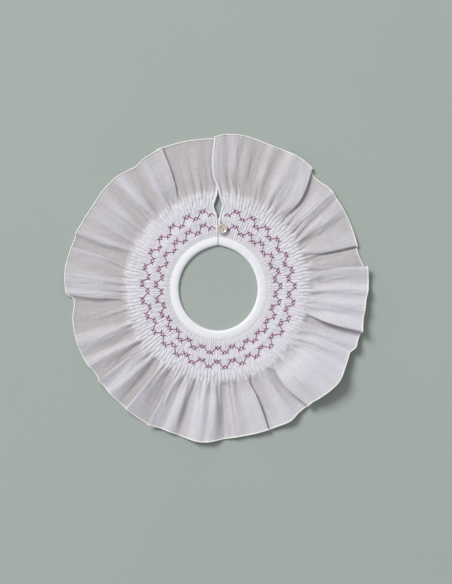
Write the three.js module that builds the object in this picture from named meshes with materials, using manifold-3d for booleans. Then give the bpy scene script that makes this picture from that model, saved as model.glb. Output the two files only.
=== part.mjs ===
// A smocked ruffle collar for a child, of thin white cotton, lying open side up on a table.
// One long strip is drawn up into pleats, smocked to a yoke and let out into a ruffle; a bias
// band binds its neck edge, and a shirt button in a thread loop closes the back opening.
//
// The collar lies in the XY plane with its face up (+Z) and its back opening towards +Y.
// Angles are degrees, clockwise from +Y as seen from above. Lengths are millimetres.
import * as THREE from "three";
import Module from "manifold-3d";

// ---- Driving sizes ----------------------------------------------------------------------------
const NECK_HALF_WIDTH = 40.2; // of the neck opening
const NECK_HALF_LENGTH = 42.4;
const NECK_POINT = 2.4; // how far the opening's corner at the back reaches past the oval
const NECK_POINT_SPREAD = 15; // degrees to either side over which that corner dies away
const BAND_WIDTH = 10.2;
const BAND_THICK = 3.4;
const BAND_EDGE = 1.5; // radius of the band's folded edges
const SEAM_GAP = 0.3; // between pieces that are sewn together
const BACK_GAP = 0.5; // between the strip's two ends where they butt

const PLEATS = 156; // smocked pleats in the yoke
const YOKE_DEPTH = 38.7; // from the band to the last gathering row
const YOKE_THICK = 3.0;
const PLEAT_RELIEF = 0.55; // a pleat's crest above, and its groove below, the yoke's mean top
const YOKE_UNDER_COLUMNS = 156;

const CLOTH_THICK = 1.2;
const HEM_THICK = 1.5; // the rolled edge
const HEM_ROLL = 0.97; // share of the ruffle's depth at which the roll starts
const LAP_CLOTH = 2.4; // degrees of cloth between a lapping fold's edge and its foot
const STEPS_PER_CREASE = 2;
const RUFFLE_ROWS = [0.13, 0.24, 0.38, 0.64, HEM_ROLL, 1]; // shares of the ruffle's depth

const BUTTON_RADIUS = 5.0;
const BUTTON_THICK = 2.0;
const BUTTON_RIM = 1.1; // width of the raised rim
const BUTTON_DISH = 0.5; // depth of the hollow inside the rim
const BUTTON_HOLE_RADIUS = 0.65;
const BUTTON_HOLE_SPACING = 2.9;
const BUTTON_HOLE_TURN = 40; // degrees from +X, clockwise
const BUTTON_OUT = 61.4; // distance of the button from the neck's centre
const BUTTON_ANGLE = 4.1;
const LOOP_THREAD = 0.9; // thickness of the thread loop
const LOOP_HALF_WIDTH = 2.3;
const LOOP_REACH = 6.4; // from the opening's edge to the loop's far end

// ---- Tables -----------------------------------------------------------------------------------
// The yoke: how high its mean top stands at each distance from the band. The two stitched rows
// pull the pleats down, and the cloth puffs up between them.
const YOKE_ROWS = [
  { out: 0, top: 2.7 },
  { out: 7.7, top: 2.8 },
  { out: 13.3, top: 2.8 },
  { out: 17.4, top: 3.4 },
  { out: 22.4, top: 2.9 },
  { out: 30.0, top: 2.9 },
  { out: YOKE_DEPTH, top: 3.1 },
];

// The back opening: half the gap between the strip's ends at each distance from the band.
const SLIT = [
  { out: 0, half: BACK_GAP / 2 },
  { out: 16.1, half: BACK_GAP / 2 },
  { out: 30.7, half: 4.7 },
  { out: 42.6, half: 0 },
];
const SLIT_PULL = 9; // degrees from the opening over which the cloth is drawn aside

// The ruffle's folds, one row each, clockwise from the back opening. A fold is a crest and the
// dip after it. root, waist and hem are its angles at the yoke, half-way out and at the edge;
// rise is its height at the waist and at the hem, and reach its radius at the hem. lap is the
// angle by which the crest's edge lies over the dip after it, or, negative, the dip before it.
const FOLD_COLUMNS = [
  "root", "waist", "hem", "waistRise", "hemRise", "reach",
  "dipRoot", "dipWaist", "dipHem", "dipWaistRise", "dipHemRise", "dipReach", "lap",
];
const FOLD_TABLE = [
  [3.4, 1.2, 2.0, 3.2, 3.0, 157.0, 7.2, 4.6, 4.6, 2.0, 2.3, 157.6, 0],
  [10.4, 7.6, 7.0, 3.4, 3.3, 158.0, 13.4, 10.2, 9.8, 2.1, 2.5, 158.0, 0],
  [16.2, 13.2, 12.4, 3.7, 3.4, 157.4, 20.3, 17.4, 17.0, 0.7, 1.3, 156.2, 0],
  [22.9, 21.4, 21.0, 4.2, 3.4, 155.6, 26.0, 25.0, 25.0, 1.5, 2.1, 156.0, 0],
  [30.0, 29.6, 29.0, 4.9, 4.7, 156.8, 34.0, 34.4, 33.0, 3.7, 3.9, 157.0, 0],
  [40.5, 43.0, 38.2, 6.4, 6.2, 155.4, 45.4, 45.2, 40.6, 0.6, 0.6, 150.0, 1.5],
  [49.0, 48.6, 48.6, 4.2, 3.2, 152.6, 56.2, 54.4, 53.4, 1.3, 1.6, 151.2, 0],
  [59.2, 58.2, 57.4, 3.8, 2.9, 150.8, 63.6, 62.4, 61.8, 1.2, 1.8, 150.2, 0],
  [68.0, 71.4, 73.0, 4.9, 4.4, 147.8, 73.4, 73.6, 75.0, 0.6, 0.6, 146.6, 1.6],
  [81.4, 80.0, 81.4, 5.2, 6.2, 153.0, 86.8, 87.0, 88.0, 2.9, 4.6, 152.6, -2.8],
  [90.4, 90.0, 91.0, 7.6, 9.4, 151.6, 94.2, 93.6, 94.0, 5.6, 8.2, 150.2, 0],
  [98.0, 97.6, 97.4, 8.2, 11.0, 150.0, 101.6, 101.4, 101.6, 5.4, 9.0, 150.0, 0],
  [105.4, 107.2, 106.6, 11.0, 14.0, 152.0, 110.4, 110.0, 109.4, 2.2, 6.0, 150.8, 1.6],
  [113.4, 113.0, 113.4, 6.6, 10.0, 151.0, 116.2, 115.4, 115.4, 4.4, 8.0, 148.4, 0],
  [119.6, 118.2, 117.6, 9.2, 10.0, 148.8, 125.2, 122.4, 121.0, 5.4, 10.4, 150.6, 0],
  [128.6, 127.6, 128.0, 12.0, 17.0, 153.6, 132.2, 131.6, 132.6, 10.0, 15.0, 152.4, 0],
  [137.6, 137.4, 137.0, 12.0, 14.0, 150.4, 141.0, 141.2, 139.8, 9.0, 10.6, 149.2, 0],
  [144.0, 145.6, 142.6, 9.8, 9.4, 149.2, 149.4, 148.4, 146.2, 1.0, 2.6, 149.6, 2.8],
  [151.8, 151.0, 151.6, 3.6, 6.0, 152.6, 155.4, 156.4, 156.4, 0.8, 2.6, 152.0, 0],
  [162.6, 160.2, 160.2, 6.2, 6.6, 151.6, 169.4, 170.0, 170.4, 5.0, 5.6, 151.4, -2.6],
  [173.0, 173.4, 173.4, 5.4, 5.6, 151.6, 177.6, 177.6, 177.4, 0.7, 1.8, 152.4, 0],
  [181.0, 181.2, 182.0, 7.0, 6.4, 154.6, 184.2, 184.6, 185.2, 5.2, 5.4, 156.0, 0],
  [188.0, 188.0, 188.4, 6.4, 6.0, 156.0, 193.4, 194.6, 194.6, 0.6, 1.4, 154.0, 0],
  [197.4, 197.4, 198.0, 6.0, 5.0, 153.2, 200.6, 201.4, 202.0, 4.2, 3.8, 153.0, 0],
  [205.6, 207.2, 207.4, 7.0, 6.6, 155.2, 210.4, 210.2, 210.0, 1.2, 1.0, 154.6, 3],
  [216.0, 217.2, 217.8, 4.8, 4.4, 153.2, 220.8, 220.2, 220.4, 0.6, 0.8, 153.0, 1.2],
  [224.4, 225.0, 226.0, 5.2, 4.2, 152.6, 227.2, 228.6, 229.0, 4.0, 3.0, 152.2, 0],
  [230.6, 232.6, 232.6, 6.4, 6.0, 153.0, 235.2, 235.0, 234.4, 0.6, 0.8, 151.4, 1.6],
  [238.6, 239.2, 240.0, 5.2, 4.6, 153.2, 241.8, 241.8, 243.6, 2.4, 3.4, 153.8, 0],
  [248.0, 248.0, 249.0, 6.6, 5.6, 153.4, 254.0, 254.0, 255.0, 0.6, 0.8, 152.0, 0],
  [257.6, 257.8, 258.6, 2.4, 1.8, 150.8, 260.8, 261.6, 263.6, 0.5, 0.5, 147.0, 0],
  [264.4, 266.2, 268.4, 6.2, 5.2, 154.2, 267.8, 269.6, 270.8, 4.0, 4.2, 155.4, 0],
  [272.0, 274.0, 275.2, 4.9, 4.3, 156.4, 277.0, 278.4, 279.0, 2.7, 3.1, 156.6, 0],
  [283.2, 285.8, 286.2, 4.1, 3.9, 155.0, 288.2, 288.4, 288.8, 0.5, 0.8, 154.4, 0.4],
  [293.2, 292.8, 292.4, 5.7, 4.0, 155.0, 296.4, 296.0, 295.6, 3.3, 3.3, 154.0, 0],
  [299.6, 300.2, 300.4, 4.7, 3.9, 153.2, 302.6, 303.6, 305.0, 3.6, 3.3, 153.0, 0],
  [308.0, 309.0, 309.8, 5.3, 4.0, 154.0, 312.4, 313.2, 314.2, 0.6, 1.3, 153.8, 0],
  [317.8, 318.4, 318.8, 6.7, 4.3, 153.4, 322.8, 323.8, 324.4, 0.5, 0.6, 150.4, 0],
  [328.6, 329.4, 330.0, 6.2, 4.0, 152.4, 331.6, 332.2, 332.8, 5.0, 3.6, 153.0, 0],
  [334.8, 337.8, 338.4, 5.9, 4.1, 154.4, 340.2, 341.0, 341.4, 0.9, 0.7, 154.0, 2.4],
  [343.6, 344.6, 345.0, 1.4, 0.9, 153.8, 347.2, 347.8, 348.2, 0.8, 0.6, 153.6, 0],
  [349.8, 350.4, 351.0, 1.7, 1.0, 153.4, 352.4, 353.0, 353.8, 0.8, 0.6, 153.2, 0],
  [355.2, 356.0, 356.6, 1.3, 0.9, 153.0, 357.4, 358.6, 359.4, 0.7, 0.6, 153.0, 0],
];
const FOLDS = FOLD_TABLE.map((row) =>
  Object.fromEntries(FOLD_COLUMNS.map((column, i) => [column, row[i]])),
);

// The strip's two ends: the first lies on top of the last, out in the ruffle.
const OVER_END = {
  cloth: 0, angles: [0.9, -2.8, -1.6], waistRise: 4.2, hemRise: 3.7, reach: 154.2,
};
const UNDER_END = {
  cloth: 360, angles: [359.1, 361.6, 362.4], waistRise: 0.6, hemRise: 0.6, reach: 153,
};

// Height at the first ruffle row: a share of the fold's height at the waist, within limits.
const GATHER_SHARE = 0.55;
const GATHER_CREST = { least: 1.2, most: 3.4 };
const GATHER_DIP = { least: 0.8, most: 2.2 };
const STATIONS = [0, RUFFLE_ROWS[0], 0.45, 1]; // depth shares of yoke, gather, waist and hem

// ---- Curves -----------------------------------------------------------------------------------
const clamp = THREE.MathUtils.clamp;
const smoothstep = (x, from, to) => THREE.MathUtils.smoothstep(x, from, to);

/** A smooth curve through the points (xs, ys), read at x. */
function through(xs, ys, x) {
  const last = xs.length - 1;
  let i = 0;
  while (i < last - 1 && x > xs[i + 1]) i++;
  const slope = (k) => (ys[k + 1] - ys[k]) / (xs[k + 1] - xs[k]);
  const tangent = (k) => {
    if (k === 0) return slope(0);
    if (k === last) return slope(last - 1);
    const before = xs[k] - xs[k - 1];
    const after = xs[k + 1] - xs[k];
    return (slope(k - 1) * after + slope(k) * before) / (before + after);
  };
  const span = xs[i + 1] - xs[i];
  const t = (x - xs[i]) / span;
  const t2 = t * t;
  const t3 = t2 * t;
  return (
    (2 * t3 - 3 * t2 + 1) * ys[i] +
    (t3 - 2 * t2 + t) * span * tangent(i) +
    (3 * t2 - 2 * t3) * ys[i + 1] +
    (t3 - t2) * span * tangent(i + 1)
  );
}

/** Straight lines through a table's rows, read at x. */
function along(table, key, value, x) {
  const i = clamp(table.findIndex((row) => row[key] >= x), 1, table.length - 1);
  const from = table[i - 1];
  const to = table[i];
  const t = clamp((x - from[key]) / (to[key] - from[key]), 0, 1);
  return THREE.MathUtils.lerp(from[value], to[value], t);
}

/** The point at an angle, a distance from the neck's centre and a height. */
function polar(angle, radius, height) {
  const a = THREE.MathUtils.degToRad(angle);
  return new THREE.Vector3(radius * Math.sin(a), radius * Math.cos(a), height);
}

/** Distance from the neck's centre to the edge of the neck opening. */
function neckRadius(angle) {
  const a = THREE.MathUtils.degToRad(angle);
  const oval = 1 / Math.hypot(Math.sin(a) / NECK_HALF_WIDTH, Math.cos(a) / NECK_HALF_LENGTH);
  const fromBack = Math.abs(((angle + 540) % 360) - 180);
  return oval + NECK_POINT * Math.exp(-fromBack / NECK_POINT_SPREAD);
}

/** Distance from the neck's centre to the yoke's inner edge. */
const seamRadius = (angle) => neckRadius(angle) + BAND_WIDTH + SEAM_GAP;

/** How far the opening draws the cloth aside, in degrees, at a distance from the band. */
function slitShift(cloth, out, radius) {
  const half = THREE.MathUtils.radToDeg(along(SLIT, "out", "half", out) / radius);
  return half * (Math.exp(-cloth / SLIT_PULL) - Math.exp(-(360 - cloth) / SLIT_PULL));
}

// ---- The strip: yoke and ruffle ---------------------------------------------------------------
/** A crease line that starts at its own place on the cloth: its angles, heights and reach. */
function crease(cloth, waist, hem, rises, reach) {
  return { cloth, angles: [cloth, waist, hem], rises, reach };
}

/** The two crease lines of a fold that laps: its edge, and its foot tucked back under it. */
function lapCreases(fold, foot) {
  const side = Math.sign(fold.lap);
  const edge = crease(fold.root, fold.waist, fold.hem, fold.rises, fold.reach);
  const angles = [fold.root + side * LAP_CLOTH, fold.waist - fold.lap, fold.hem - fold.lap];
  const tuck = crease(...angles, foot, fold.reach);
  return side > 0 ? [edge, tuck] : [tuck, edge];
}

/** Every crease line of the ruffle, in the order in which they lie on the cloth. */
function creases() {
  const gather = (rise, limits) => clamp(rise * GATHER_SHARE, limits.least, limits.most);
  const rises = (waist, hem, limits) => [gather(waist, limits), waist, hem];
  const end = (e, limits) => ({ ...e, rises: rises(e.waistRise, e.hemRise, limits) });
  const lines = [end(OVER_END, GATHER_CREST)];
  let foot = null;
  for (const fold of FOLDS) {
    fold.rises = rises(fold.waistRise, fold.hemRise, GATHER_CREST);
    const dip = rises(fold.dipWaistRise, fold.dipHemRise, GATHER_DIP);
    if (fold.lap === 0) {
      lines.push(crease(fold.root, fold.waist, fold.hem, fold.rises, fold.reach));
    } else {
      lines.push(...lapCreases(fold, fold.lap > 0 ? dip : foot));
    }
    lines.push(crease(fold.dipRoot, fold.dipWaist, fold.dipHem, dip, fold.dipReach));
    foot = dip;
  }
  lines.push(end(UNDER_END, GATHER_DIP));
  return lines;
}

const CREASES = creases();
const FOLD_PLACES = CREASES.map(({ cloth }, i) => ({ step: i * STEPS_PER_CREASE, cloth }));
const ROW_NUDGE = 0.01;
const MITRE_LIMIT = 1.3;

/** The row of points along the cloth at a share of the ruffle's depth, in the wall's middle. */
function middleRow(depth, floor) {
  const [yoke, , waist, hem] = STATIONS;
  const eased = depth < waist ? smoothstep(depth, yoke, waist) * waist : depth;
  const corners = CREASES.map(({ angles, rises, reach }) => {
    const angle = through([yoke, waist, hem], angles, eased);
    const inner = seamRadius(angle) + YOKE_DEPTH;
    const radius = THREE.MathUtils.lerp(inner, reach, depth);
    const height = through(STATIONS, [YOKE_THICK / 2, ...rises], depth);
    return new THREE.Vector3(THREE.MathUtils.degToRad(angle) * radius, radius, height);
  });
  // A centripetal curve keeps its bends round and never crosses itself between two corners.
  const curve = new THREE.CatmullRomCurve3(corners, false, "centripetal");
  const steps = (CREASES.length - 1) * STEPS_PER_CREASE;
  return Array.from({ length: steps + 1 }, (_, i) => {
    const { x: arc, y: radius, z: height } = curve.getPoint(i / steps);
    const cloth = along(FOLD_PLACES, "step", "cloth", i);
    const out = radius - seamRadius(THREE.MathUtils.radToDeg(arc / radius));
    const angle = THREE.MathUtils.radToDeg(arc / radius) + slitShift(cloth, out, radius);
    return polar(angle, radius, Math.max(floor, height));
  });
}

/** The two faces of the ruffle's wall along one row: [upper points, under points]. */
function ruffleRow(depth) {
  const thick = depth > HEM_ROLL ? HEM_THICK : CLOTH_THICK;
  const floor = thick / 2;
  const rows = [depth - ROW_NUDGE, depth, depth + ROW_NUDGE].map((d) =>
    middleRow(clamp(d, 0, 1), floor),
  );
  const [inner, middle, outer] = rows;
  const last = middle.length - 1;
  const pairs = middle.map((point, i) => {
    const before = middle[Math.max(0, i - 1)];
    const after = middle[Math.min(last, i + 1)];
    const radial = outer[i].clone().sub(inner[i]);
    const legs = [point.clone().sub(before), after.clone().sub(point)].map((leg) =>
      leg.lengthSq() > 0 ? leg.cross(radial).normalize() : null,
    );
    const [left, right] = [legs[0] ?? legs[1], legs[1] ?? legs[0]];
    const normal = left.clone().add(right).normalize();
    // At a bend the two faces lie further apart along the middle line, so the wall keeps its
    // thickness; a very sharp one is left a little thin rather than drawn to a point.
    const mitre = Math.min(MITRE_LIMIT, 1 / Math.max(0.1, normal.dot(left)));
    const upper = point.clone().addScaledVector(normal, (mitre * thick) / 2);
    const under = point.clone().addScaledVector(normal, (-mitre * thick) / 2);
    upper.z = Math.max(upper.z, 0);
    under.z = Math.max(under.z, 0);
    return [upper, under];
  });
  return [pairs.map(([upper]) => upper), pairs.map(([, under]) => under)];
}

/** A row of the yoke at a distance from the band. relief is 0 on its plain underside. */
function yokeRow(out, height, relief, places) {
  return places.map((cloth, i) => {
    const radius = seamRadius(cloth) + out;
    const crest = i % 2 ? relief : -relief;
    return polar(cloth + slitShift(cloth, out, radius), radius, height + crest);
  });
}

/** Builds a closed surface from rows of points, each with its places on the cloth. */
class Sewing {
  constructor() {
    this.points = [];
    this.faces = [];
  }

  row(points, places) {
    const first = this.points.length;
    this.points.push(...points);
    return { ids: points.map((_, i) => first + i), places };
  }

  /** Joins two rows, which may have different numbers of points. */
  join(a, b, flip = false) {
    const add = (p, q, r) => this.faces.push(flip ? [p, r, q] : [p, q, r]);
    let i = 0;
    let j = 0;
    while (i < a.ids.length - 1 || j < b.ids.length - 1) {
      const nextA = a.places[i + 1] ?? Infinity;
      const nextB = b.places[j + 1] ?? Infinity;
      if (nextA < nextB) {
        add(a.ids[i], a.ids[i + 1], b.ids[j]);
        i++;
      } else {
        add(a.ids[i], b.ids[j + 1], b.ids[j]);
        j++;
      }
    }
  }

  geometry() {
    const positions = new Float32Array(this.points.flatMap((p) => p.toArray()));
    const geometry = new THREE.BufferGeometry();
    geometry.setAttribute("position", new THREE.BufferAttribute(positions, 3));
    geometry.setIndex(this.faces.flat());
    geometry.computeVertexNormals();
    return geometry;
  }
}

/** Places on the cloth, in degrees, evenly spaced from one end of the strip to the other. */
const evenPlaces = (count) => Array.from({ length: count + 1 }, (_, i) => (360 * i) / count);

/** Places on the cloth at the crease lines, with even steps between them. */
function creasePlaces() {
  const steps = (CREASES.length - 1) * STEPS_PER_CREASE;
  return Array.from({ length: steps + 1 }, (_, i) => along(FOLD_PLACES, "step", "cloth", i));
}

function makeStrip() {
  const sewing = new Sewing();
  const pleatPlaces = evenPlaces(2 * PLEATS);
  const underPlaces = evenPlaces(YOKE_UNDER_COLUMNS);
  const foldPlaces = creasePlaces();

  const upper = YOKE_ROWS.map(({ out, top }) =>
    sewing.row(yokeRow(out, top, PLEAT_RELIEF, pleatPlaces), pleatPlaces),
  );
  const under = [0, YOKE_DEPTH].map((out) =>
    sewing.row(yokeRow(out, 0, 0, underPlaces), underPlaces),
  );
  for (const depth of RUFFLE_ROWS) {
    const [top, bottom] = ruffleRow(depth);
    upper.push(sewing.row(top, foldPlaces));
    under.push(sewing.row(bottom, foldPlaces));
  }
  for (let i = 0; i < upper.length - 1; i++) sewing.join(upper[i], upper[i + 1]);
  for (let i = 0; i < under.length - 1; i++) sewing.join(under[i], under[i + 1], true);
  sewing.join(under[0], upper[0]);
  sewing.join(upper.at(-1), under.at(-1));
  closeEnd(sewing, upper, under, (row) => row.ids[0], false);
  closeEnd(sewing, upper, under, (row) => row.ids.at(-1), true);
  return sewing.geometry();
}

/** Closes one end of the strip between its upper and its under rows. */
function closeEnd(sewing, upper, under, pick, flip) {
  const top = { ids: upper.map(pick), places: [...YOKE_ROWS.keys(), ...RUFFLE_ROWS.map((d) => 10 + d)] };
  const last = YOKE_ROWS.length - 1;
  const bottom = { ids: under.map(pick), places: [0, last, ...RUFFLE_ROWS.map((d) => 10 + d)] };
  if (flip) sewing.join(bottom, top);
  else sewing.join(top, bottom);
}

// ---- The neck band ----------------------------------------------------------------------------
/** The band's section, as distances out from the neck edge and heights. */
function bandSection() {
  const outline = [];
  const corner = (out, height, from) => {
    for (const turn of [0, 45, 90]) {
      const a = THREE.MathUtils.degToRad(from + turn);
      outline.push([out + BAND_EDGE * Math.cos(a), height + BAND_EDGE * Math.sin(a)]);
    }
  };
  corner(BAND_WIDTH - BAND_EDGE, BAND_THICK - BAND_EDGE, 0);
  corner(BAND_EDGE, BAND_THICK - BAND_EDGE, 90);
  outline.push([BAND_EDGE * 0.5, 0], [BAND_WIDTH - BAND_EDGE * 0.5, 0]);
  return outline;
}

function makeBand(steps = 60) {
  const section = bandSection();
  const count = section.length;
  const gap = THREE.MathUtils.radToDeg(BACK_GAP / 2 / (NECK_HALF_LENGTH + BAND_WIDTH / 2));
  const points = [];
  const faces = [];
  for (let i = 0; i <= steps; i++) {
    const angle = gap + ((360 - 2 * gap) * i) / steps;
    for (const [out, height] of section) points.push(polar(angle, neckRadius(angle) + out, height));
  }
  for (let i = 0; i < steps; i++) {
    for (let k = 0; k < count; k++) {
      const a = i * count + k;
      const b = i * count + ((k + 1) % count);
      faces.push([a, b, b + count], [a, b + count, a + count]);
    }
  }
  const cap = THREE.ShapeUtils.triangulateShape(section.map(([x, y]) => new THREE.Vector2(x, y)), []);
  const end = steps * count;
  for (const [a, b, c] of cap) faces.push([c, b, a], [end + a, end + b, end + c]);
  const geometry = new THREE.BufferGeometry();
  const positions = new Float32Array(points.flatMap((p) => p.toArray()));
  geometry.setAttribute("position", new THREE.BufferAttribute(positions, 3));
  geometry.setIndex(faces.flat());
  geometry.computeVertexNormals();
  return geometry;
}

// ---- Button and loop --------------------------------------------------------------------------
const wasm = await Module();
wasm.setup();

/** A closed three.js geometry as a solid that can be cut. */
async function solidOf(geometry) {
  const { mergeVertices } = await import("three/addons/utils/BufferGeometryUtils.js");
  const bare = geometry.clone().deleteAttribute("normal").deleteAttribute("uv");
  const merged = mergeVertices(bare, 1e-4);
  return new wasm.Manifold(
    new wasm.Mesh({
      numProp: 3,
      vertProperties: merged.attributes.position.array,
      triVerts: new Uint32Array(merged.index.array),
    }),
  );
}

function geometryOf(solid) {
  const mesh = solid.getMesh();
  const geometry = new THREE.BufferGeometry();
  geometry.setAttribute("position", new THREE.BufferAttribute(mesh.vertProperties, mesh.numProp));
  geometry.setIndex(new THREE.BufferAttribute(mesh.triVerts, 1));
  geometry.computeVertexNormals();
  return geometry;
}

/** A round two-hole shirt button with a raised rim, its underside at height 0. */
async function makeButton() {
  const edge = 0.35;
  const top = BUTTON_THICK;
  const profile = [
    [0, 0],
    [BUTTON_RADIUS - edge * 2, 0],
    [BUTTON_RADIUS, edge * 2],
    [BUTTON_RADIUS, top - edge],
    [BUTTON_RADIUS - edge, top],
    [BUTTON_RADIUS - BUTTON_RIM, top],
    [BUTTON_RADIUS - BUTTON_RIM - BUTTON_DISH, top - BUTTON_DISH],
    [0, top - BUTTON_DISH],
  ].map(([x, y]) => new THREE.Vector2(x, y));
  const disc = new THREE.LatheGeometry(profile, 28).rotateX(Math.PI / 2);
  let button = await solidOf(disc);
  if (button.volume() < 0) throw new Error("the button's profile is reversed");
  const turn = THREE.MathUtils.degToRad(BUTTON_HOLE_TURN);
  for (const side of [-1, 1]) {
    const hole = new THREE.CylinderGeometry(BUTTON_HOLE_RADIUS, BUTTON_HOLE_RADIUS, 3 * top, 12);
    hole.rotateX(Math.PI / 2);
    const out = (side * BUTTON_HOLE_SPACING) / 2;
    hole.translate(out * Math.cos(turn), -out * Math.sin(turn), top);
    button = button.subtract(await solidOf(hole));
  }
  return geometryOf(button);
}

/** The thread loop that comes from the under end's edge and runs round the button's shank. */
function makeLoop() {
  const bend = LOOP_HALF_WIDTH;
  const straight = LOOP_REACH - bend;
  const path = new THREE.CurvePath();
  const arcPoints = [];
  for (let k = 0; k <= 8; k++) {
    const a = Math.PI / 2 - (Math.PI * k) / 8;
    arcPoints.push(new THREE.Vector3(straight + bend * Math.cos(a), bend * Math.sin(a), 0));
  }
  const ends = [new THREE.Vector3(0, bend, 0), new THREE.Vector3(0, -bend, 0)];
  const line = [ends[0], ...arcPoints, ends[1]];
  for (let k = 0; k < line.length - 1; k++) path.add(new THREE.LineCurve3(line[k], line[k + 1]));
  const sides = 6;
  const section = Array.from({ length: sides }, (_, k) => {
    const a = (2 * Math.PI * k) / sides;
    return new THREE.Vector2((LOOP_THREAD / 2) * Math.cos(a), (LOOP_THREAD / 2) * Math.sin(a));
  });
  const smooth = new THREE.CatmullRomCurve3(line);
  return new THREE.ExtrudeGeometry(new THREE.Shape(section), { steps: 20, extrudePath: smooth });
}

// ---- Assembly ---------------------------------------------------------------------------------
const white = (color, roughness) => new THREE.MeshStandardMaterial({ color, roughness, metalness: 0 });

function named(name, geometry, material) {
  const mesh = new THREE.Mesh(geometry, material);
  mesh.name = name;
  return mesh;
}

const collar = new THREE.Group();
const strip = named("smocked_ruffle", makeStrip(), white(0xe9e9ee, 0.85));
const band = named("neck_band", makeBand(), white(0xf6f6fa, 0.8));
const button = named("button", await makeButton(), white(0xf1ead9, 0.25));
const loop = named("button_loop", makeLoop(), white(0xf3f3f3, 0.7));

const yokeTop = YOKE_THICK + PLEAT_RELIEF;
const buttonPlace = polar(BUTTON_ANGLE, BUTTON_OUT, yokeTop + LOOP_THREAD + 2 * SEAM_GAP);
button.position.copy(buttonPlace);
loop.position.set(-1.1, buttonPlace.y, yokeTop + SEAM_GAP + LOOP_THREAD / 2);
collar.add(strip, band, button, loop);

// The frame's origin is the middle of the collar's outline, on the table.
const box = new THREE.Box3().setFromObject(collar, true);
collar.position.set(-(box.min.x + box.max.x) / 2, -(box.min.y + box.max.y) / 2, -box.min.z);

export default collar;
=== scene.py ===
"""Looks of the smocked ruffle collar, which lies open on a pale table.

Lengths in the classes below are millimetres from the middle of the neck opening, with the back
opening towards +Y. Angles are degrees, clockwise from +Y as seen from above. A place is a
position along the strip of cloth, from 0 at the end that lies on top to 360 at the other end.
"""

import logging
import math
from collections.abc import Callable, Sequence
from dataclasses import dataclass
from enum import Enum

import bmesh
import bpy
import numpy as np
from mathutils import Matrix, Vector


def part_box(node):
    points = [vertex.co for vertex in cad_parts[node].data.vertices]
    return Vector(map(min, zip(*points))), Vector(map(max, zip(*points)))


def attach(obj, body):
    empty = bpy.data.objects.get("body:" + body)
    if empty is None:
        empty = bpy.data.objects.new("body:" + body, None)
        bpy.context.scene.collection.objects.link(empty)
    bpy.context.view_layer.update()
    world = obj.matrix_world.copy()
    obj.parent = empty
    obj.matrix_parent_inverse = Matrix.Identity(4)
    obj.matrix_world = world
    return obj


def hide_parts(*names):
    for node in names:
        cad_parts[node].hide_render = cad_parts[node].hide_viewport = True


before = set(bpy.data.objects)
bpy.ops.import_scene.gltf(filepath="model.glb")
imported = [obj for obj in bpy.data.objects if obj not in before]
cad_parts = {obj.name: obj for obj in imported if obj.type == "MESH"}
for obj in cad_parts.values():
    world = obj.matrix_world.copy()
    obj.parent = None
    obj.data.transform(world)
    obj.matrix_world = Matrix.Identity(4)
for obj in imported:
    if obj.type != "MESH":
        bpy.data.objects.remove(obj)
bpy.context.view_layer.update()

LOG = logging.getLogger("collar")
Array = np.ndarray
Triple = tuple[float, float, float]
MM = 0.001
TURN = 2.0 * math.pi


# ---- The ruffle's folds, as the solids have them -----------------------------------------------
@dataclass(frozen=True)
class Fold:
    """A fold of the ruffle: a crest, and the dip that follows it clockwise.

    root, waist and hem are angles at the yoke, half-way out and at the edge. lap is the angle by
    which the crest's edge lies over the dip after it or, when negative, the dip before it.
    """

    root: float
    waist: float
    hem: float
    waist_rise: float
    hem_rise: float
    reach: float
    dip_root: float
    dip_waist: float
    dip_hem: float
    dip_waist_rise: float
    dip_hem_rise: float
    dip_reach: float
    lap: float


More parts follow.
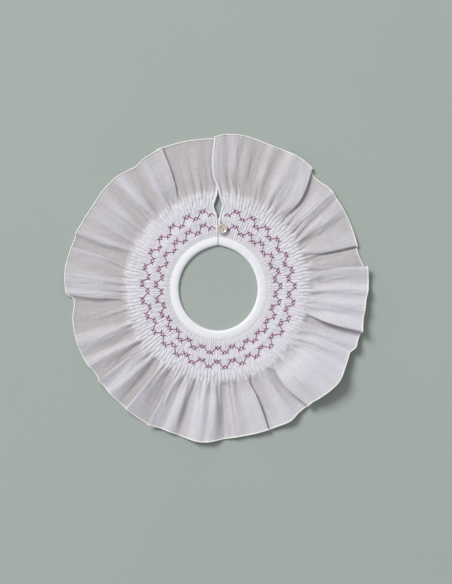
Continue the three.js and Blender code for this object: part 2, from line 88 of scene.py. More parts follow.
FOLDS: tuple[Fold, ...] = tuple(
    Fold(*row)
    for row in (
        (3.4, 1.2, 2.0, 3.2, 3.0, 157.0, 7.2, 4.6, 4.6, 2.0, 2.3, 157.6, 0),
        (10.4, 7.6, 7.0, 3.4, 3.3, 158.0, 13.4, 10.2, 9.8, 2.1, 2.5, 158.0, 0),
        (16.2, 13.2, 12.4, 3.7, 3.4, 157.4, 20.3, 17.4, 17.0, 0.7, 1.3, 156.2, 0),
        (22.9, 21.4, 21.0, 4.2, 3.4, 155.6, 26.0, 25.0, 25.0, 1.5, 2.1, 156.0, 0),
        (30.0, 29.6, 29.0, 4.9, 4.7, 156.8, 34.0, 34.4, 33.0, 3.7, 3.9, 157.0, 0),
        (40.5, 43.0, 38.2, 6.4, 6.2, 155.4, 45.4, 45.2, 40.6, 0.6, 0.6, 150.0, 1.5),
        (49.0, 48.6, 48.6, 4.2, 3.2, 152.6, 56.2, 54.4, 53.4, 1.3, 1.6, 151.2, 0),
        (59.2, 58.2, 57.4, 3.8, 2.9, 150.8, 63.6, 62.4, 61.8, 1.2, 1.8, 150.2, 0),
        (68.0, 71.4, 73.0, 4.9, 4.4, 147.8, 73.4, 73.6, 75.0, 0.6, 0.6, 146.6, 1.6),
        (81.4, 80.0, 81.4, 5.2, 6.2, 153.0, 86.8, 87.0, 88.0, 2.9, 4.6, 152.6, -2.8),
        (90.4, 90.0, 91.0, 7.6, 9.4, 151.6, 94.2, 93.6, 94.0, 5.6, 8.2, 150.2, 0),
        (98.0, 97.6, 97.4, 8.2, 11.0, 150.0, 101.6, 101.4, 101.6, 5.4, 9.0, 150.0, 0),
        (105.4, 107.2, 106.6, 11.0, 14.0, 152.0, 110.4, 110.0, 109.4, 2.2, 6.0, 150.8, 1.6),
        (113.4, 113.0, 113.4, 6.6, 10.0, 151.0, 116.2, 115.4, 115.4, 4.4, 8.0, 148.4, 0),
        (119.6, 118.2, 117.6, 9.2, 10.0, 148.8, 125.2, 122.4, 121.0, 5.4, 10.4, 150.6, 0),
        (128.6, 127.6, 128.0, 12.0, 17.0, 153.6, 132.2, 131.6, 132.6, 10.0, 15.0, 152.4, 0),
        (137.6, 137.4, 137.0, 12.0, 14.0, 150.4, 141.0, 141.2, 139.8, 9.0, 10.6, 149.2, 0),
        (144.0, 145.6, 142.6, 9.8, 9.4, 149.2, 149.4, 148.4, 146.2, 1.0, 2.6, 149.6, 2.8),
        (151.8, 151.0, 151.6, 3.6, 6.0, 152.6, 155.4, 156.4, 156.4, 0.8, 2.6, 152.0, 0),
        (162.6, 160.2, 160.2, 6.2, 6.6, 151.6, 169.4, 170.0, 170.4, 5.0, 5.6, 151.4, -2.6),
        (173.0, 173.4, 173.4, 5.4, 5.6, 151.6, 177.6, 177.6, 177.4, 0.7, 1.8, 152.4, 0),
        (181.0, 181.2, 182.0, 7.0, 6.4, 154.6, 184.2, 184.6, 185.2, 5.2, 5.4, 156.0, 0),
        (188.0, 188.0, 188.4, 6.4, 6.0, 156.0, 193.4, 194.6, 194.6, 0.6, 1.4, 154.0, 0),
        (197.4, 197.4, 198.0, 6.0, 5.0, 153.2, 200.6, 201.4, 202.0, 4.2, 3.8, 153.0, 0),
        (205.6, 207.2, 207.4, 7.0, 6.6, 155.2, 210.4, 210.2, 210.0, 1.2, 1.0, 154.6, 3),
        (216.0, 217.2, 217.8, 4.8, 4.4, 153.2, 220.8, 220.2, 220.4, 0.6, 0.8, 153.0, 1.2),
        (224.4, 225.0, 226.0, 5.2, 4.2, 152.6, 227.2, 228.6, 229.0, 4.0, 3.0, 152.2, 0),
        (230.6, 232.6, 232.6, 6.4, 6.0, 153.0, 235.2, 235.0, 234.4, 0.6, 0.8, 151.4, 1.6),
        (238.6, 239.2, 240.0, 5.2, 4.6, 153.2, 241.8, 241.8, 243.6, 2.4, 3.4, 153.8, 0),
        (248.0, 248.0, 249.0, 6.6, 5.6, 153.4, 254.0, 254.0, 255.0, 0.6, 0.8, 152.0, 0),
        (257.6, 257.8, 258.6, 2.4, 1.8, 150.8, 260.8, 261.6, 263.6, 0.5, 0.5, 147.0, 0),
        (264.4, 266.2, 268.4, 6.2, 5.2, 154.2, 267.8, 269.6, 270.8, 4.0, 4.2, 155.4, 0),
        (272.0, 274.0, 275.2, 4.9, 4.3, 156.4, 277.0, 278.4, 279.0, 2.7, 3.1, 156.6, 0),
        (283.2, 285.8, 286.2, 4.1, 3.9, 155.0, 288.2, 288.4, 288.8, 0.5, 0.8, 154.4, 0.4),
        (293.2, 292.8, 292.4, 5.7, 4.0, 155.0, 296.4, 296.0, 295.6, 3.3, 3.3, 154.0, 0),
        (299.6, 300.2, 300.4, 4.7, 3.9, 153.2, 302.6, 303.6, 305.0, 3.6, 3.3, 153.0, 0),
        (308.0, 309.0, 309.8, 5.3, 4.0, 154.0, 312.4, 313.2, 314.2, 0.6, 1.3, 153.8, 0),
        (317.8, 318.4, 318.8, 6.7, 4.3, 153.4, 322.8, 323.8, 324.4, 0.5, 0.6, 150.4, 0),
        (328.6, 329.4, 330.0, 6.2, 4.0, 152.4, 331.6, 332.2, 332.8, 5.0, 3.6, 153.0, 0),
        (334.8, 337.8, 338.4, 5.9, 4.1, 154.4, 340.2, 341.0, 341.4, 0.9, 0.7, 154.0, 2.4),
        (343.6, 344.6, 345.0, 1.4, 0.9, 153.8, 347.2, 347.8, 348.2, 0.8, 0.6, 153.6, 0),
        (349.8, 350.4, 351.0, 1.7, 1.0, 153.4, 352.4, 353.0, 353.8, 0.8, 0.6, 153.2, 0),
        (355.2, 356.0, 356.6, 1.3, 0.9, 153.0, 357.4, 358.6, 359.4, 0.7, 0.6, 153.0, 0),
    )
)


# ---- Where this cloth lies otherwise than the solids -------------------------------------------
@dataclass(frozen=True)
class Rest:
    """A stretch where this cloth rests higher or lower than the solids' wall.

    spread is half its width in degrees, share is what is left of the folds' height, and lift is
    added to it, in millimetres.
    """

    place: float
    spread: float
    share: float
    lift: float


RESTS: tuple[Rest, ...] = (
    Rest(21.0, 9.0, 1.0, -1.7),
    Rest(41.0, 8.0, 0.55, 0.4),
    Rest(55.0, 6.0, 1.0, 0.8),
    Rest(68.0, 8.0, 0.6, 0.4),
    Rest(80.0, 6.0, 1.0, 1.6),
    Rest(153.5, 6.0, 1.0, 2.0),
    Rest(170.0, 6.0, 0.85, -0.8),
    Rest(187.0, 6.0, 1.0, 0.9),
    Rest(216.0, 8.0, 1.45, 0.0),
    Rest(251.0, 13.0, 0.75, -1.4),
    Rest(292.0, 26.0, 0.9, -1.3),
    Rest(334.0, 8.0, 0.6, 0.0),
)

OPEN_LAPS: tuple[float, ...] = (40.5, 68.0)
"""Roots of the folds whose laps open out towards the yoke."""

OPEN_SHARE = 0.15
"""What is left of such a lap at the waist."""


# ---- The collar's form -------------------------------------------------------------------------
@dataclass(frozen=True)
class Crease:
    """A crease line: its place, its angles and heights at the stations, and its reach."""

    place: float
    angles: Triple
    rises: Triple
    reach: float


class End(Enum):
    """The strip's two ends at the back opening."""

    OVER = 0
    UNDER = 360


class StitchRow(Enum):
    """The two rows of smocking stitches: distance out of each line of crosses, and waves."""

    INNER = (7.5, 12.5, 25)
    OUTER = (21.5, 27.0, 29)


def polar(angle: Array, radius: Array, height: Array) -> Array:
    """Turn angles, distances and heights into points.

    Args:
        angle: degrees clockwise from +Y.
        radius: distance from the neck's centre.
        height: height above the table.

    Returns:
        Points, with the coordinates on the last axis.
    """
    a = np.radians(angle)
    x, y, z = np.broadcast_arrays(radius * np.sin(a), radius * np.cos(a), height)
    return np.stack([x, y, z], axis=-1)


def smoothstep(x: Array, low: float, high: float) -> Array:
    """Ease x from 0 at low to 1 at high."""
    t = np.clip((x - low) / (high - low), 0.0, 1.0)
    return t * t * (3.0 - 2.0 * t)


def wobble(x: Array, seed: int, waves: Sequence[float] = (1.0, 2.3, 4.1)) -> Array:
    """Give a smooth uneven value from -1 to 1 that changes with x.

    Args:
        x: where to read it; it changes over steps of about 1.
        seed: which of the uneven values to give.
        waves: how many times faster each of its parts runs.

    Returns:
        The value at each x.
    """
    turns = np.random.default_rng(seed).uniform(0.0, TURN, len(waves))
    parts = [np.sin(w * x + t) / (k + 1.0) for k, (w, t) in enumerate(zip(waves, turns))]
    return np.sum(parts, axis=0) / sum(1.0 / (k + 1.0) for k in range(len(waves)))


def hermite(t: Array, start: Array, leaving: Array, end: Array, arriving: Array) -> Array:
    """Read smooth curves between two points.

    Args:
        t: shares of the way from start to end.
        start: where the curves start.
        leaving: their slope there.
        end: where they end.
        arriving: their slope there.

    Returns:
        The curves' values at t.
    """
    t2, t3 = t * t, t * t * t
    near = (2 * t3 - 3 * t2 + 1) * start + (t3 - 2 * t2 + t) * leaving
    return near + (3 * t2 - 2 * t3) * end + (t3 - t2) * arriving


def read_path(at: Array, marks: Array, path: Array) -> Array:
    """Read a path's points at some of its marks, straight between them.

    Args:
        at: where to read it.
        marks: the mark of each of its points, rising.
        path: its points.

    Returns:
        A point for each reading.
    """
    return np.stack([np.interp(at, marks, path[:, axis]) for axis in range(3)], axis=-1)


def relax(path: Array, rounds: int) -> None:
    """Smooth a path in place and keep its ends."""
    for _ in range(rounds):
        path[1:-1] = (path[:-2] + 2.0 * path[1:-1] + path[2:]) / 4.0


@dataclass(frozen=True)
class CollarForm:
    """The form of the collar's cloth.

    The sizes down to dip_limits, the folds and the opening are the solids' own. The cloth here is
    thinner than their walls, so yoke_middle and floor, the heights at which it leaves the yoke
    and rests on the table, are its own, as are RESTS and the finer pleats and gathers.
    """

    neck_half_width: float = 40.2
    neck_half_length: float = 42.4
    neck_point: float = 2.4
    neck_point_spread: float = 15.0
    band_width: float = 10.2
    seam_gap: float = 0.3
    yoke_depth: float = 38.7
    pleats: int = 156
    slit_pull: float = 9.0
    lap_cloth: float = 2.4
    stations: tuple[float, ...] = (0.0, 0.13, 0.45, 1.0)
    root_share: float = 0.55
    crest_limits: tuple[float, float] = (1.2, 3.4)
    dip_limits: tuple[float, float] = (0.8, 2.2)
    yoke_middle: float = 2.5
    floor: float = 0.3
    landing: float = 0.25
    fold_foot: float = 0.6
    pleat_deep: float = 0.9
    gather_deep: float = 1.9
    fine_reach: float = 5.0
    fine_spread: float = 3.4
    puff: float = 4.4
    puff_reach: float = 17.0
    puff_spread: float = 11.0
    merge: float = 0.8
    merge_reach: float = 34.0
    roll: float = 0.28
    slack: float = 0.22
    ruffle_reach: float = 62.0
    hem_lift: float = 0.5
    rough_seam: float = 52.0
    honeycomb: float = 0.44
    flecks: float = 1.1
    honeycomb_step: float = 14.3
    slit_out: tuple[float, ...] = (0.0, 16.1, 30.7, 42.6)
    slit_half: tuple[float, ...] = (0.25, 0.25, 4.7, 0.0)
    pleat_steps: tuple[float, ...] = (0.0, 0.07, 0.2, 0.5, 0.8, 0.93)
    pleat_heights: tuple[float, ...] = (-1.0, -0.3, -0.08, 0.0, -0.08, -0.3)
    crest_out: tuple[float, ...] = (0.0, 2.5, 7.0, 10.7, 14.5, 17.8, 21.0, 25.2, 29.0, 34.0, 38.7)
    crest_high: tuple[float, ...] = (3.0, 3.5, 3.35, 3.1, 3.45, 3.95, 3.5, 3.1, 3.5, 3.8, 3.6)
    groove_out: tuple[float, ...] = (-1.4, 0.0, 3.0, 10.0, 17.0, 24.2, 31.0, 38.7)
    groove_deep: tuple[float, ...] = (0.15, 0.2, 0.6, 0.5, 0.75, 0.5, 0.75)

    def neck_radius(self, angle: Array) -> Array:
        """Distance from the neck's centre to the edge of the neck opening.

        Args:
            angle: where round the neck.

        Returns:
            The distance at each angle.
        """
        a = np.radians(angle)
        oval = 1.0 / np.hypot(np.sin(a) / self.neck_half_width, np.cos(a) / self.neck_half_length)
        from_back = np.abs(np.mod(np.asarray(angle) + 540.0, 360.0) - 180.0)
        return oval + self.neck_point * np.exp(-from_back / self.neck_point_spread)

    def seam_radius(self, angle: Array) -> Array:
        """Distance from the neck's centre to the yoke's inner edge."""
        return self.neck_radius(angle) + self.band_width + self.seam_gap

    def slit_shift(self, place: Array, out: Array, radius: Array) -> Array:
        """Degrees by which the opening draws the cloth aside at a distance from the band.

        Args:
            place: places along the strip.
            out: distance out of the band.
            radius: distance from the neck's centre.

        Returns:
            The shift in degrees, clockwise.
        """
        half = np.interp(out, self.slit_out, self.slit_half)
        side = np.exp(-place / self.slit_pull) - np.exp(-(360.0 - place) / self.slit_pull)
        return np.degrees(half / radius) * side

    def rises(self, waist: float, hem: float, limits: tuple[float, float]) -> Triple:
        """Triple of a crease at the stations past the yoke.

        Args:
            waist: its height half-way out.
            hem: its height at the edge.
            limits: its least and greatest height beside the yoke.

        Returns:
            The heights, from the yoke outwards.
        """
        least, most = limits
        return (min(max(self.root_share * waist, least), most), waist, hem)

    def creases(self) -> list[Crease]:
        """Every crease line of the ruffle.

        Returns:
            The lines, in the order in which they lie on the cloth.
        """
        over = self.rises(4.2, 3.7, self.crest_limits)
        under = foot = self.rises(0.6, 0.6, self.dip_limits)
        first = Crease(0.0, (0.9, -2.8, -1.6), over, 154.2)
        last = Crease(360.0, (359.1, 361.6, 362.4), under, 153.0)
        lines = [first]
        for f in FOLDS:
            rise = self.rises(f.waist_rise, f.hem_rise, self.crest_limits)
            dip = self.rises(f.dip_waist_rise, f.dip_hem_rise, self.dip_limits)
            edge = Crease(f.root, (f.root, f.waist, f.hem), rise, f.reach)
            if f.lap:
                place = f.root + math.copysign(self.lap_cloth, f.lap)
                fallen = dip if f.lap > 0 else foot
                waist_lap = f.lap * (OPEN_SHARE if f.root in OPEN_LAPS else 1.0)
                tuck = Crease(place, (place, f.waist - waist_lap, f.hem - f.lap), fallen, f.reach)
                lines += [edge, tuck] if f.lap > 0 else [tuck, edge]
            else:
                lines.append(edge)
            angles = (f.dip_root, f.dip_waist, f.dip_hem)
            lines.append(Crease(f.dip_root, angles, dip, f.dip_reach))
            foot = dip
        return [*lines, last]

    def pleat(self, place: Array) -> Array:
        """Height of a pleat's section at a place: 0 on its crest, -1 in its groove."""
        phase = np.mod(place * self.pleats / 360.0, 1.0)
        return np.interp(phase, [*self.pleat_steps, 1.0], [*self.pleat_heights, -1.0])

    def pleat_places(self) -> Array:
        """Places of the strip's columns: six to a pleat, closest beside its groove."""
        places = (np.arange(self.pleats)[:, None] + np.array(self.pleat_steps)).ravel()
        return np.append(places, float(self.pleats)) * 360.0 / self.pleats

    def yoke_crest(self, out: Array) -> Array:
        """Height of the pleats' crests: low where stitches hold them, puffed between.

        Args:
            out: distances out of the band.

        Returns:
            The height at each distance.
        """
        fine = np.linspace(0.0, self.yoke_depth, 200)
        kernel = np.hanning(13) / np.hanning(13).sum()
        padded = np.pad(np.interp(fine, self.crest_out, self.crest_high), 6, mode="edge")
        return np.interp(out, fine, np.convolve(padded, kernel, mode="valid"))

    def unevenness(self, place: Array) -> Array:
        """Share by which the pleats at a place are deeper than the rest."""
        return 1.0 + 0.22 * wobble(place * 2.6, 5, (1.0, 1.7, 2.9))

    def yoke(self, place: Array, out: Array) -> Array:
        """Points of the smocked yoke.

        Args:
            place: places along the strip.
            out: distances out of the band.

        Returns:
            Points, with the coordinates on the last axis.
        """
        radius = self.seam_radius(place) + out
        uneven = wobble(place * 0.9, 3)
        sway = 0.22 * np.sin(out * 0.45 + 2.0 * uneven) * smoothstep(out, 2.0, 9.0)
        sway = sway * np.sin(np.radians(np.clip(place, 0.0, 360.0) / 2.0)) ** 0.3
        fleck = wobble(place * 5.3 + 0.5 * out, 31, (1.0, 1.9, 3.1))
        fleck = fleck * wobble(out * 0.8 + 2.3 * place, 32)
        deep = np.interp(out, self.groove_out, [*self.groove_deep, self.pleat_deep])
        deep = deep * (self.unevenness(place) + self.flecks * fleck)
        pair = np.cos(math.pi * place * self.pleats / 360.0 + 0.8 * uneven)
        held = smoothstep(out, 1.0, 6.0) * (1.0 - smoothstep(out, 34.0, self.yoke_depth))
        cells = np.sin((out - 3.0) * TURN / self.honeycomb_step)
        sway = sway + self.honeycomb * pair * held * cells
        height = self.yoke_crest(out) + 0.14 * wobble(place * 1.3, 8) + deep * self.pleat(place)
        angle = place + sway + self.slit_shift(place, out, radius)
        return polar(angle, radius, height)

    def ruffle(self, depth: Array, place: Array) -> Array:
        """Points of the ruffle.

        Args:
            depth: shares of the ruffle's depth, one for each row.
            place: places along the strip, one for each column.

        Returns:
            Points, by row and column.
        """
        lines = self.creases()
        starts = np.array([c.place for c in lines])
        angles = np.array([c.angles for c in lines])
        rises = np.array([(self.yoke_middle, *c.rises) for c in lines])
        reach = np.array([c.reach for c in lines])
        _, _, waist, hem = self.stations
        eased = np.where(depth < waist, smoothstep(depth, 0.0, waist) * waist, depth)
        angle = self.through((0.0, waist, hem), angles, eased)
        height = self.through(self.stations, rises, depth)
        inner = self.seam_radius(angle) + self.yoke_depth
        radius = inner + (reach[None, :] - inner) * depth[:, None]
        corners = np.stack([np.radians(angle) * radius, radius, height], axis=-1)
        rows = self.centripetal(corners, starts, place)
        arc, far, high = rows[..., 0], rows[..., 1], rows[..., 2]
        for rest in RESTS:
            near = np.exp(-(((place - rest.place) / rest.spread) ** 4))
            high = high + near * (rest.lift + (rest.share - 1.0) * np.maximum(high - self.fold_foot, 0.0))
        high = high + self.gathers(depth, place)
        floor = self.floor + self.hem_lift * smoothstep(depth, 0.95, 1.0)[:, None]
        high = floor + self.landing * np.logaddexp(0.0, (high - floor) / self.landing)
        turned = np.degrees(arc / far)
        out = far - self.seam_radius(turned)
        return polar(turned + self.slit_shift(place[None, :], out, far), far, high)

    def gathers(self, depth: Array, place: Array) -> Array:
        """Height that the fine gathers and the creases they merge in add to the ruffle.

        Args:
            depth: shares of the ruffle's depth, one for each row.
            place: places along the strip, one for each column.

        Returns:
            Heights, by row and column.
        """
        run = depth[:, None] * self.ruffle_reach
        at = place[None, :]
        pleat = self.pleat(at) + 0.33
        length = self.fine_reach + self.fine_spread * wobble(at * 1.9, 11)
        swell = self.pleat_deep + (self.gather_deep - self.pleat_deep) * smoothstep(run, 0.0, 3.0)
        fine = swell * self.unevenness(at) * pleat * np.exp(-((run / length) ** 1.15))
        reach = self.puff_reach + self.puff_spread * wobble(at * 0.8, 18)
        puffed = np.abs(wobble(at * 0.62 + 0.02 * run, 12, (1.0, 1.45, 1.9))) ** 0.8 - 0.4
        puffed = self.puff * puffed * (1.0 - np.exp(-run / 2.5)) * np.exp(-((run / reach) ** 1.5))
        merged = self.merge * wobble(at * 0.62 + 0.012 * run, 13, (1.0, 1.6, 2.2))
        merged = merged * (1.0 - np.exp(-run / 6.0)) * np.exp(-run / self.merge_reach)
        rolled = self.roll * wobble(at * 1.15, 14, (1.0, 1.7))
        rolled = rolled * smoothstep(run, 44.0, self.ruffle_reach)
        slack = self.slack * wobble(at * 0.5 + 0.09 * run, 15) * smoothstep(run, 10.0, 30.0)
        crest = (1.0 - np.abs(wobble(at * 0.95 + 0.035 * run, 16, (1.0, 1.6, 2.7)))) ** 4
        patch = 0.5 + 0.5 * wobble(at * 0.21 - 0.05 * run, 17)
        lasting = smoothstep(run, 3.0, 16.0) * (1.0 - 0.6 * smoothstep(run, 30.0, 60.0))
        crisp = (crest - 0.3) * patch * lasting
        return fine + puffed + merged + rolled + slack + crisp

    @staticmethod
    def through(stations: Sequence[float], values: Array, at: Array) -> Array:
        """Read smooth curves through values at a few stations.

        Args:
            stations: where the values hold, rising.
            values: one row for each curve, one column for each station.
            at: where to read the curves.

        Returns:
            One row for each reading, one column for each curve.
        """
        x = np.asarray(stations, dtype=float)
        slope = np.diff(values, axis=1) / np.diff(x)[None, :]
        tangent = np.empty_like(values)
        tangent[:, 0], tangent[:, -1] = slope[:, 0], slope[:, -1]
        before, after = np.diff(x)[:-1], np.diff(x)[1:]
        tangent[:, 1:-1] = (slope[:, :-1] * after + slope[:, 1:] * before) / (before + after)
        i = np.clip(np.searchsorted(x, at, side="left") - 1, 0, len(x) - 2)
        span = x[i + 1] - x[i]
        t = ((at - x[i]) / span)[:, None]
        a, b = values[:, i].T, values[:, i + 1].T
        ta, tb = tangent[:, i].T * span[:, None], tangent[:, i + 1].T * span[:, None]
        return hermite(t, a, ta, b, tb)

    @staticmethod
    def centripetal(corners: Array, starts: Array, place: Array) -> Array:
        """Read centripetal curves through each row of corners.

        Args:
            corners: points by row and crease line.
            starts: the place of each crease line.
            place: places to read.

        Returns:
            Points by row and place.
        """
        first = 2 * corners[:, :1] - corners[:, 1:2]
        last = 2 * corners[:, -1:] - corners[:, -2:-1]
        p = np.concatenate([first, corners, last], axis=1)
        knot = np.maximum(np.linalg.norm(np.diff(p, axis=1), axis=-1, keepdims=True) ** 0.5, 1e-3)
        i = np.clip(np.searchsorted(starts, place, side="right") - 1, 0, len(starts) - 2)
        t = ((place - starts[i]) / (starts[i + 1] - starts[i]))[None, :, None]
        p0, p1, p2, p3 = (p[:, i + k] for k in range(4))
        d0, d1, d2 = (knot[:, i + k] for k in range(3))
        m1 = ((p1 - p0) / d0 - (p2 - p0) / (d0 + d1) + (p2 - p1) / d1) * d1
        m2 = ((p2 - p1) / d1 - (p3 - p1) / (d1 + d2) + (p3 - p2) / d2) * d1
        return hermite(t, p1, m1, p2, m2)


# ---- Making pieces -----------------------------------------------------------------------------
GridReader = Callable[[Array, Array, Array], Array]
"""Turns a grid's u and v and its number into points or into distances over the cloth."""


@dataclass(frozen=True)
class Workbench:
    """Turns forms into finished pieces in the frame's own place and units."""

    centre: tuple[float, float]

    def lay(
        self,
        name: str,
        grids: Sequence[tuple[int, int]],
        form: GridReader,
        cloth: GridReader,
        closed: bool = False,
    ) -> bpy.types.Object:
        """Make one piece from grids that a form moves into place.

        Args:
            name: the piece's name.
            grids: columns and rows of each grid.
            form: takes u, v (both 0 to 1) and the grid's number, and gives points.
            cloth: takes the same, and gives the UV map's coordinates in millimetres.
            closed: v runs round a tube, whose seam is merged and whose ends are filled.

        Returns:
            The piece, at the origin.
        """
        bm = bmesh.new()
        for k, (columns, rows) in enumerate(grids):
            bmesh.ops.create_grid(
                bm,
                x_segments=columns,
                y_segments=rows,
                size=0.5,
                matrix=Matrix.Translation((0.5, 0.5, float(k))),
            )
        for edge in bm.edges:
            edge.smooth = closed or not edge.is_boundary
        mesh = self.mesh(name, bm)
        flat = np.empty(len(mesh.vertices) * 3)
        mesh.vertices.foreach_get("co", flat)
        u, v, k = flat.reshape(-1, 3).T
        corner = np.empty(len(mesh.loops), dtype=np.int64)
        mesh.loops.foreach_get("vertex_index", corner)
        uv = mesh.uv_layers.new(name="cloth")
        uv.data.foreach_set("uv", (cloth(u, v, k)[corner] * MM).ravel())
        points = form(u, v, k) * MM
        points[:, 0] += self.centre[0]
        points[:, 1] += self.centre[1]
        mesh.vertices.foreach_set("co", points.ravel())
        mesh.update()
        if closed:
            self.close(mesh)
        mesh.polygons.foreach_set("use_smooth", np.ones(len(mesh.polygons), dtype=bool))
        return self.show(name, mesh)

    @staticmethod
    def mesh(name: str, bm: bmesh.types.BMesh) -> bpy.types.Mesh:
        """Keep a bmesh as a new mesh, and free it.

        Args:
            name: the mesh's name.
            bm: the bmesh.

        Returns:
            The mesh.
        """
        mesh = bpy.data.meshes.new(name)
        bm.to_mesh(mesh)
        bm.free()
        return mesh

    @staticmethod
    def close(mesh: bpy.types.Mesh) -> None:
        """Merge a tube's seam, fill its ends and turn its faces outwards.

        Args:
            mesh: the tube, which is changed.
        """
        bm = bmesh.new()
        bm.from_mesh(mesh)
        bmesh.ops.remove_doubles(bm, verts=bm.verts, dist=1e-7)
        open_edges = [e for e in bm.edges if e.is_boundary]
        bmesh.ops.holes_fill(bm, edges=open_edges, sides=0)
        bmesh.ops.recalc_face_normals(bm, faces=bm.faces)
        bm.to_mesh(mesh)
        bm.free()

    @staticmethod
    def show(name: str, data: bpy.types.ID) -> bpy.types.Object:
        """Put a mesh, a light or a camera in the scene as an object at the origin.

        Args:
            name: the object's name.
            data: what it shows.

        Returns:
            The object.
        """
        shown = bpy.data.objects.new(name, data)
        bpy.context.scene.collection.objects.link(shown)
        return shown

    @staticmethod
    def thicken(piece: bpy.types.Object, thick: float) -> None:
        """Give a sheet the cloth's thickness, half to each side.

        Args:
            piece: the sheet.
            thick: the cloth's thickness in millimetres.
        """
        wall = piece.modifiers.new("cloth thickness", "SOLIDIFY")
        wall.thickness = thick * MM
        wall.offset = 0.0
        wall.use_even_offset = False

    @staticmethod
    def dress(piece: bpy.types.Object, finish: "Finish", slot: str, node: str | None = None) -> None:
        """Give a piece its material and its body.

        Args:
            piece: the piece.
            finish: what it is made of.
            slot: not used.
            node: the solid that it stands for.
        """
        piece.data.materials.clear()
        piece.data.materials.append(finish.material())
        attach(piece, "root")
        if node:
            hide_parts(node)
        LOG.info("%s: %d faces", piece.name, len(piece.data.polygons))


@dataclass(frozen=True)
class Strands:
    """Tubes along paths: threads, cords and rolled edges."""

    sides: int
    steps: int
    apart: float = 13.0

    def build(
        self,
        bench: Workbench,
        name: str,
        paths: Sequence[Array],
        radius: float,
        flat: float = 1.0,
        up: Array | None = None,
        twist: float = 0.0,
        ridge: float = 0.0,
        lay: float = 1.0,
    ) -> bpy.types.Object:
        """Make tubes along paths, with rounded ends.

        Args:
            bench: makes the mesh.
            name: the piece's name.
            paths: points along each tube, in millimetres.
            radius: half the tube's width.
            flat: its height as a share of its width.
            up: which way its height points; +Z when left out.
            twist: plies that show round it.
            ridge: depth of the plies as a share of its radius.
            lay: length of one turn of the plies.

        Returns:
            The piece.
        """
        grids = [(max(self.steps, len(p) - 1), self.sides) for p in paths]
        spans = [np.linalg.norm(np.diff(p, axis=0), axis=1) for p in paths]
        lengths = [np.append(0.0, np.cumsum(span)) for span in spans]
        lift = np.array([0.0, 0.0, 1.0]) if up is None else up

        def form(u: Array, v: Array, k: Array) -> Array:
            """Points of the tubes.

            Args:
                u: share of the way along a tube.
                v: share of the way round it.
                k: number of the tube.

            Returns:
                The points.
            """
            points = np.empty((len(u), 3))
            for i, (path, run) in enumerate(zip(paths, lengths)):
                mine = np.nonzero(np.round(k) == i)[0]
                s = u[mine] * run[-1]
                centre = read_path(s, run, path)
                ahead = read_path(s, run, np.gradient(path, run, axis=0))
                ahead /= np.linalg.norm(ahead, axis=1, keepdims=True) + 1e-12
                side = np.cross(ahead, lift)
                side /= np.linalg.norm(side, axis=1, keepdims=True) + 1e-12
                over = np.cross(side, ahead)
                a = v[mine] * TURN
                ply = 1.0 + ridge * (np.cos(twist * a + TURN * s / lay) - 0.5)
                near = np.minimum(s, run[-1] - s)
                round_end = np.sqrt(np.clip(1.0 - (1.0 - near / radius) ** 2, 0.02, 1.0))
                size = radius * ply * np.where(near < radius, round_end, 1.0)
                points[mine] = (
                    centre
                    + side * (size * np.cos(a))[:, None]
                    + over * (size * flat * np.sin(a))[:, None]
                )
            return points

        def cloth(u: Array, v: Array, k: Array) -> Array:
            """Distances along and round the tubes, each tube further along than the last."""
            total = np.array([run[-1] for run in lengths])[np.round(k).astype(int)]
            return np.stack([u * total + self.apart * k, v * TURN * radius], axis=-1)

        return bench.lay(name, grids, form, cloth, closed=True)


# ---- Finishes ----------------------------------------------------------------------------------
Operand = "Wire | float"


@dataclass(frozen=True)
class Wire:
    """A node's output that can be used in arithmetic; each operation adds a Math node."""

    tree: bpy.types.NodeTree
    socket: bpy.types.NodeSocket

    def _math(self, operation: str, *operands: "Operand") -> "Wire":
        """Add one Math node.

        Args:
            operation: the node's operation.
            operands: wires or numbers, in order.

        Returns:
            The node's result.
        """
        node = self.tree.nodes.new("ShaderNodeMath")
        node.operation = operation
        for socket, value in zip(node.inputs, operands):
            if isinstance(value, Wire):
                self.tree.links.new(value.socket, socket)
            else:
                socket.default_value = value
        return Wire(self.tree, node.outputs[0])

    def __add__(self, other: "Operand") -> "Wire":
        """self + other."""
        return self._math("ADD", self, other)

    def __radd__(self, other: "Operand") -> "Wire":
        """other + self."""
        return self._math("ADD", other, self)

    def __sub__(self, other: "Operand") -> "Wire":
        """self - other."""
        return self._math("SUBTRACT", self, other)

    def __rsub__(self, other: "Operand") -> "Wire":
        """other - self."""
        return self._math("SUBTRACT", other, self)

    def __mul__(self, other: "Operand") -> "Wire":
        """self * other."""
        return self._math("MULTIPLY", self, other)

    def __rmul__(self, other: "Operand") -> "Wire":
        """other * self."""
        return self._math("MULTIPLY", other, self)

    def __truediv__(self, other: "Operand") -> "Wire":
        """self / other."""
        return self._math("DIVIDE", self, other)

    def __rtruediv__(self, other: "Operand") -> "Wire":
        """other / self."""
        return self._math("DIVIDE", other, self)

    def __abs__(self) -> "Wire":
        """The size of self without its sign."""
        return self._math("ABSOLUTE", self)

    def sine(self) -> "Wire":
        """The sine of self."""
        return self._math("SINE", self)

    def clamped(self) -> "Wire":
        """self, held between 0 and 1."""
        return self._math("MINIMUM", self._math("MAXIMUM", self, 0.0), 1.0)


Colour = Triple

DIAGONAL = 0.7071
"""Share of each direction in one that runs slantwise between them."""


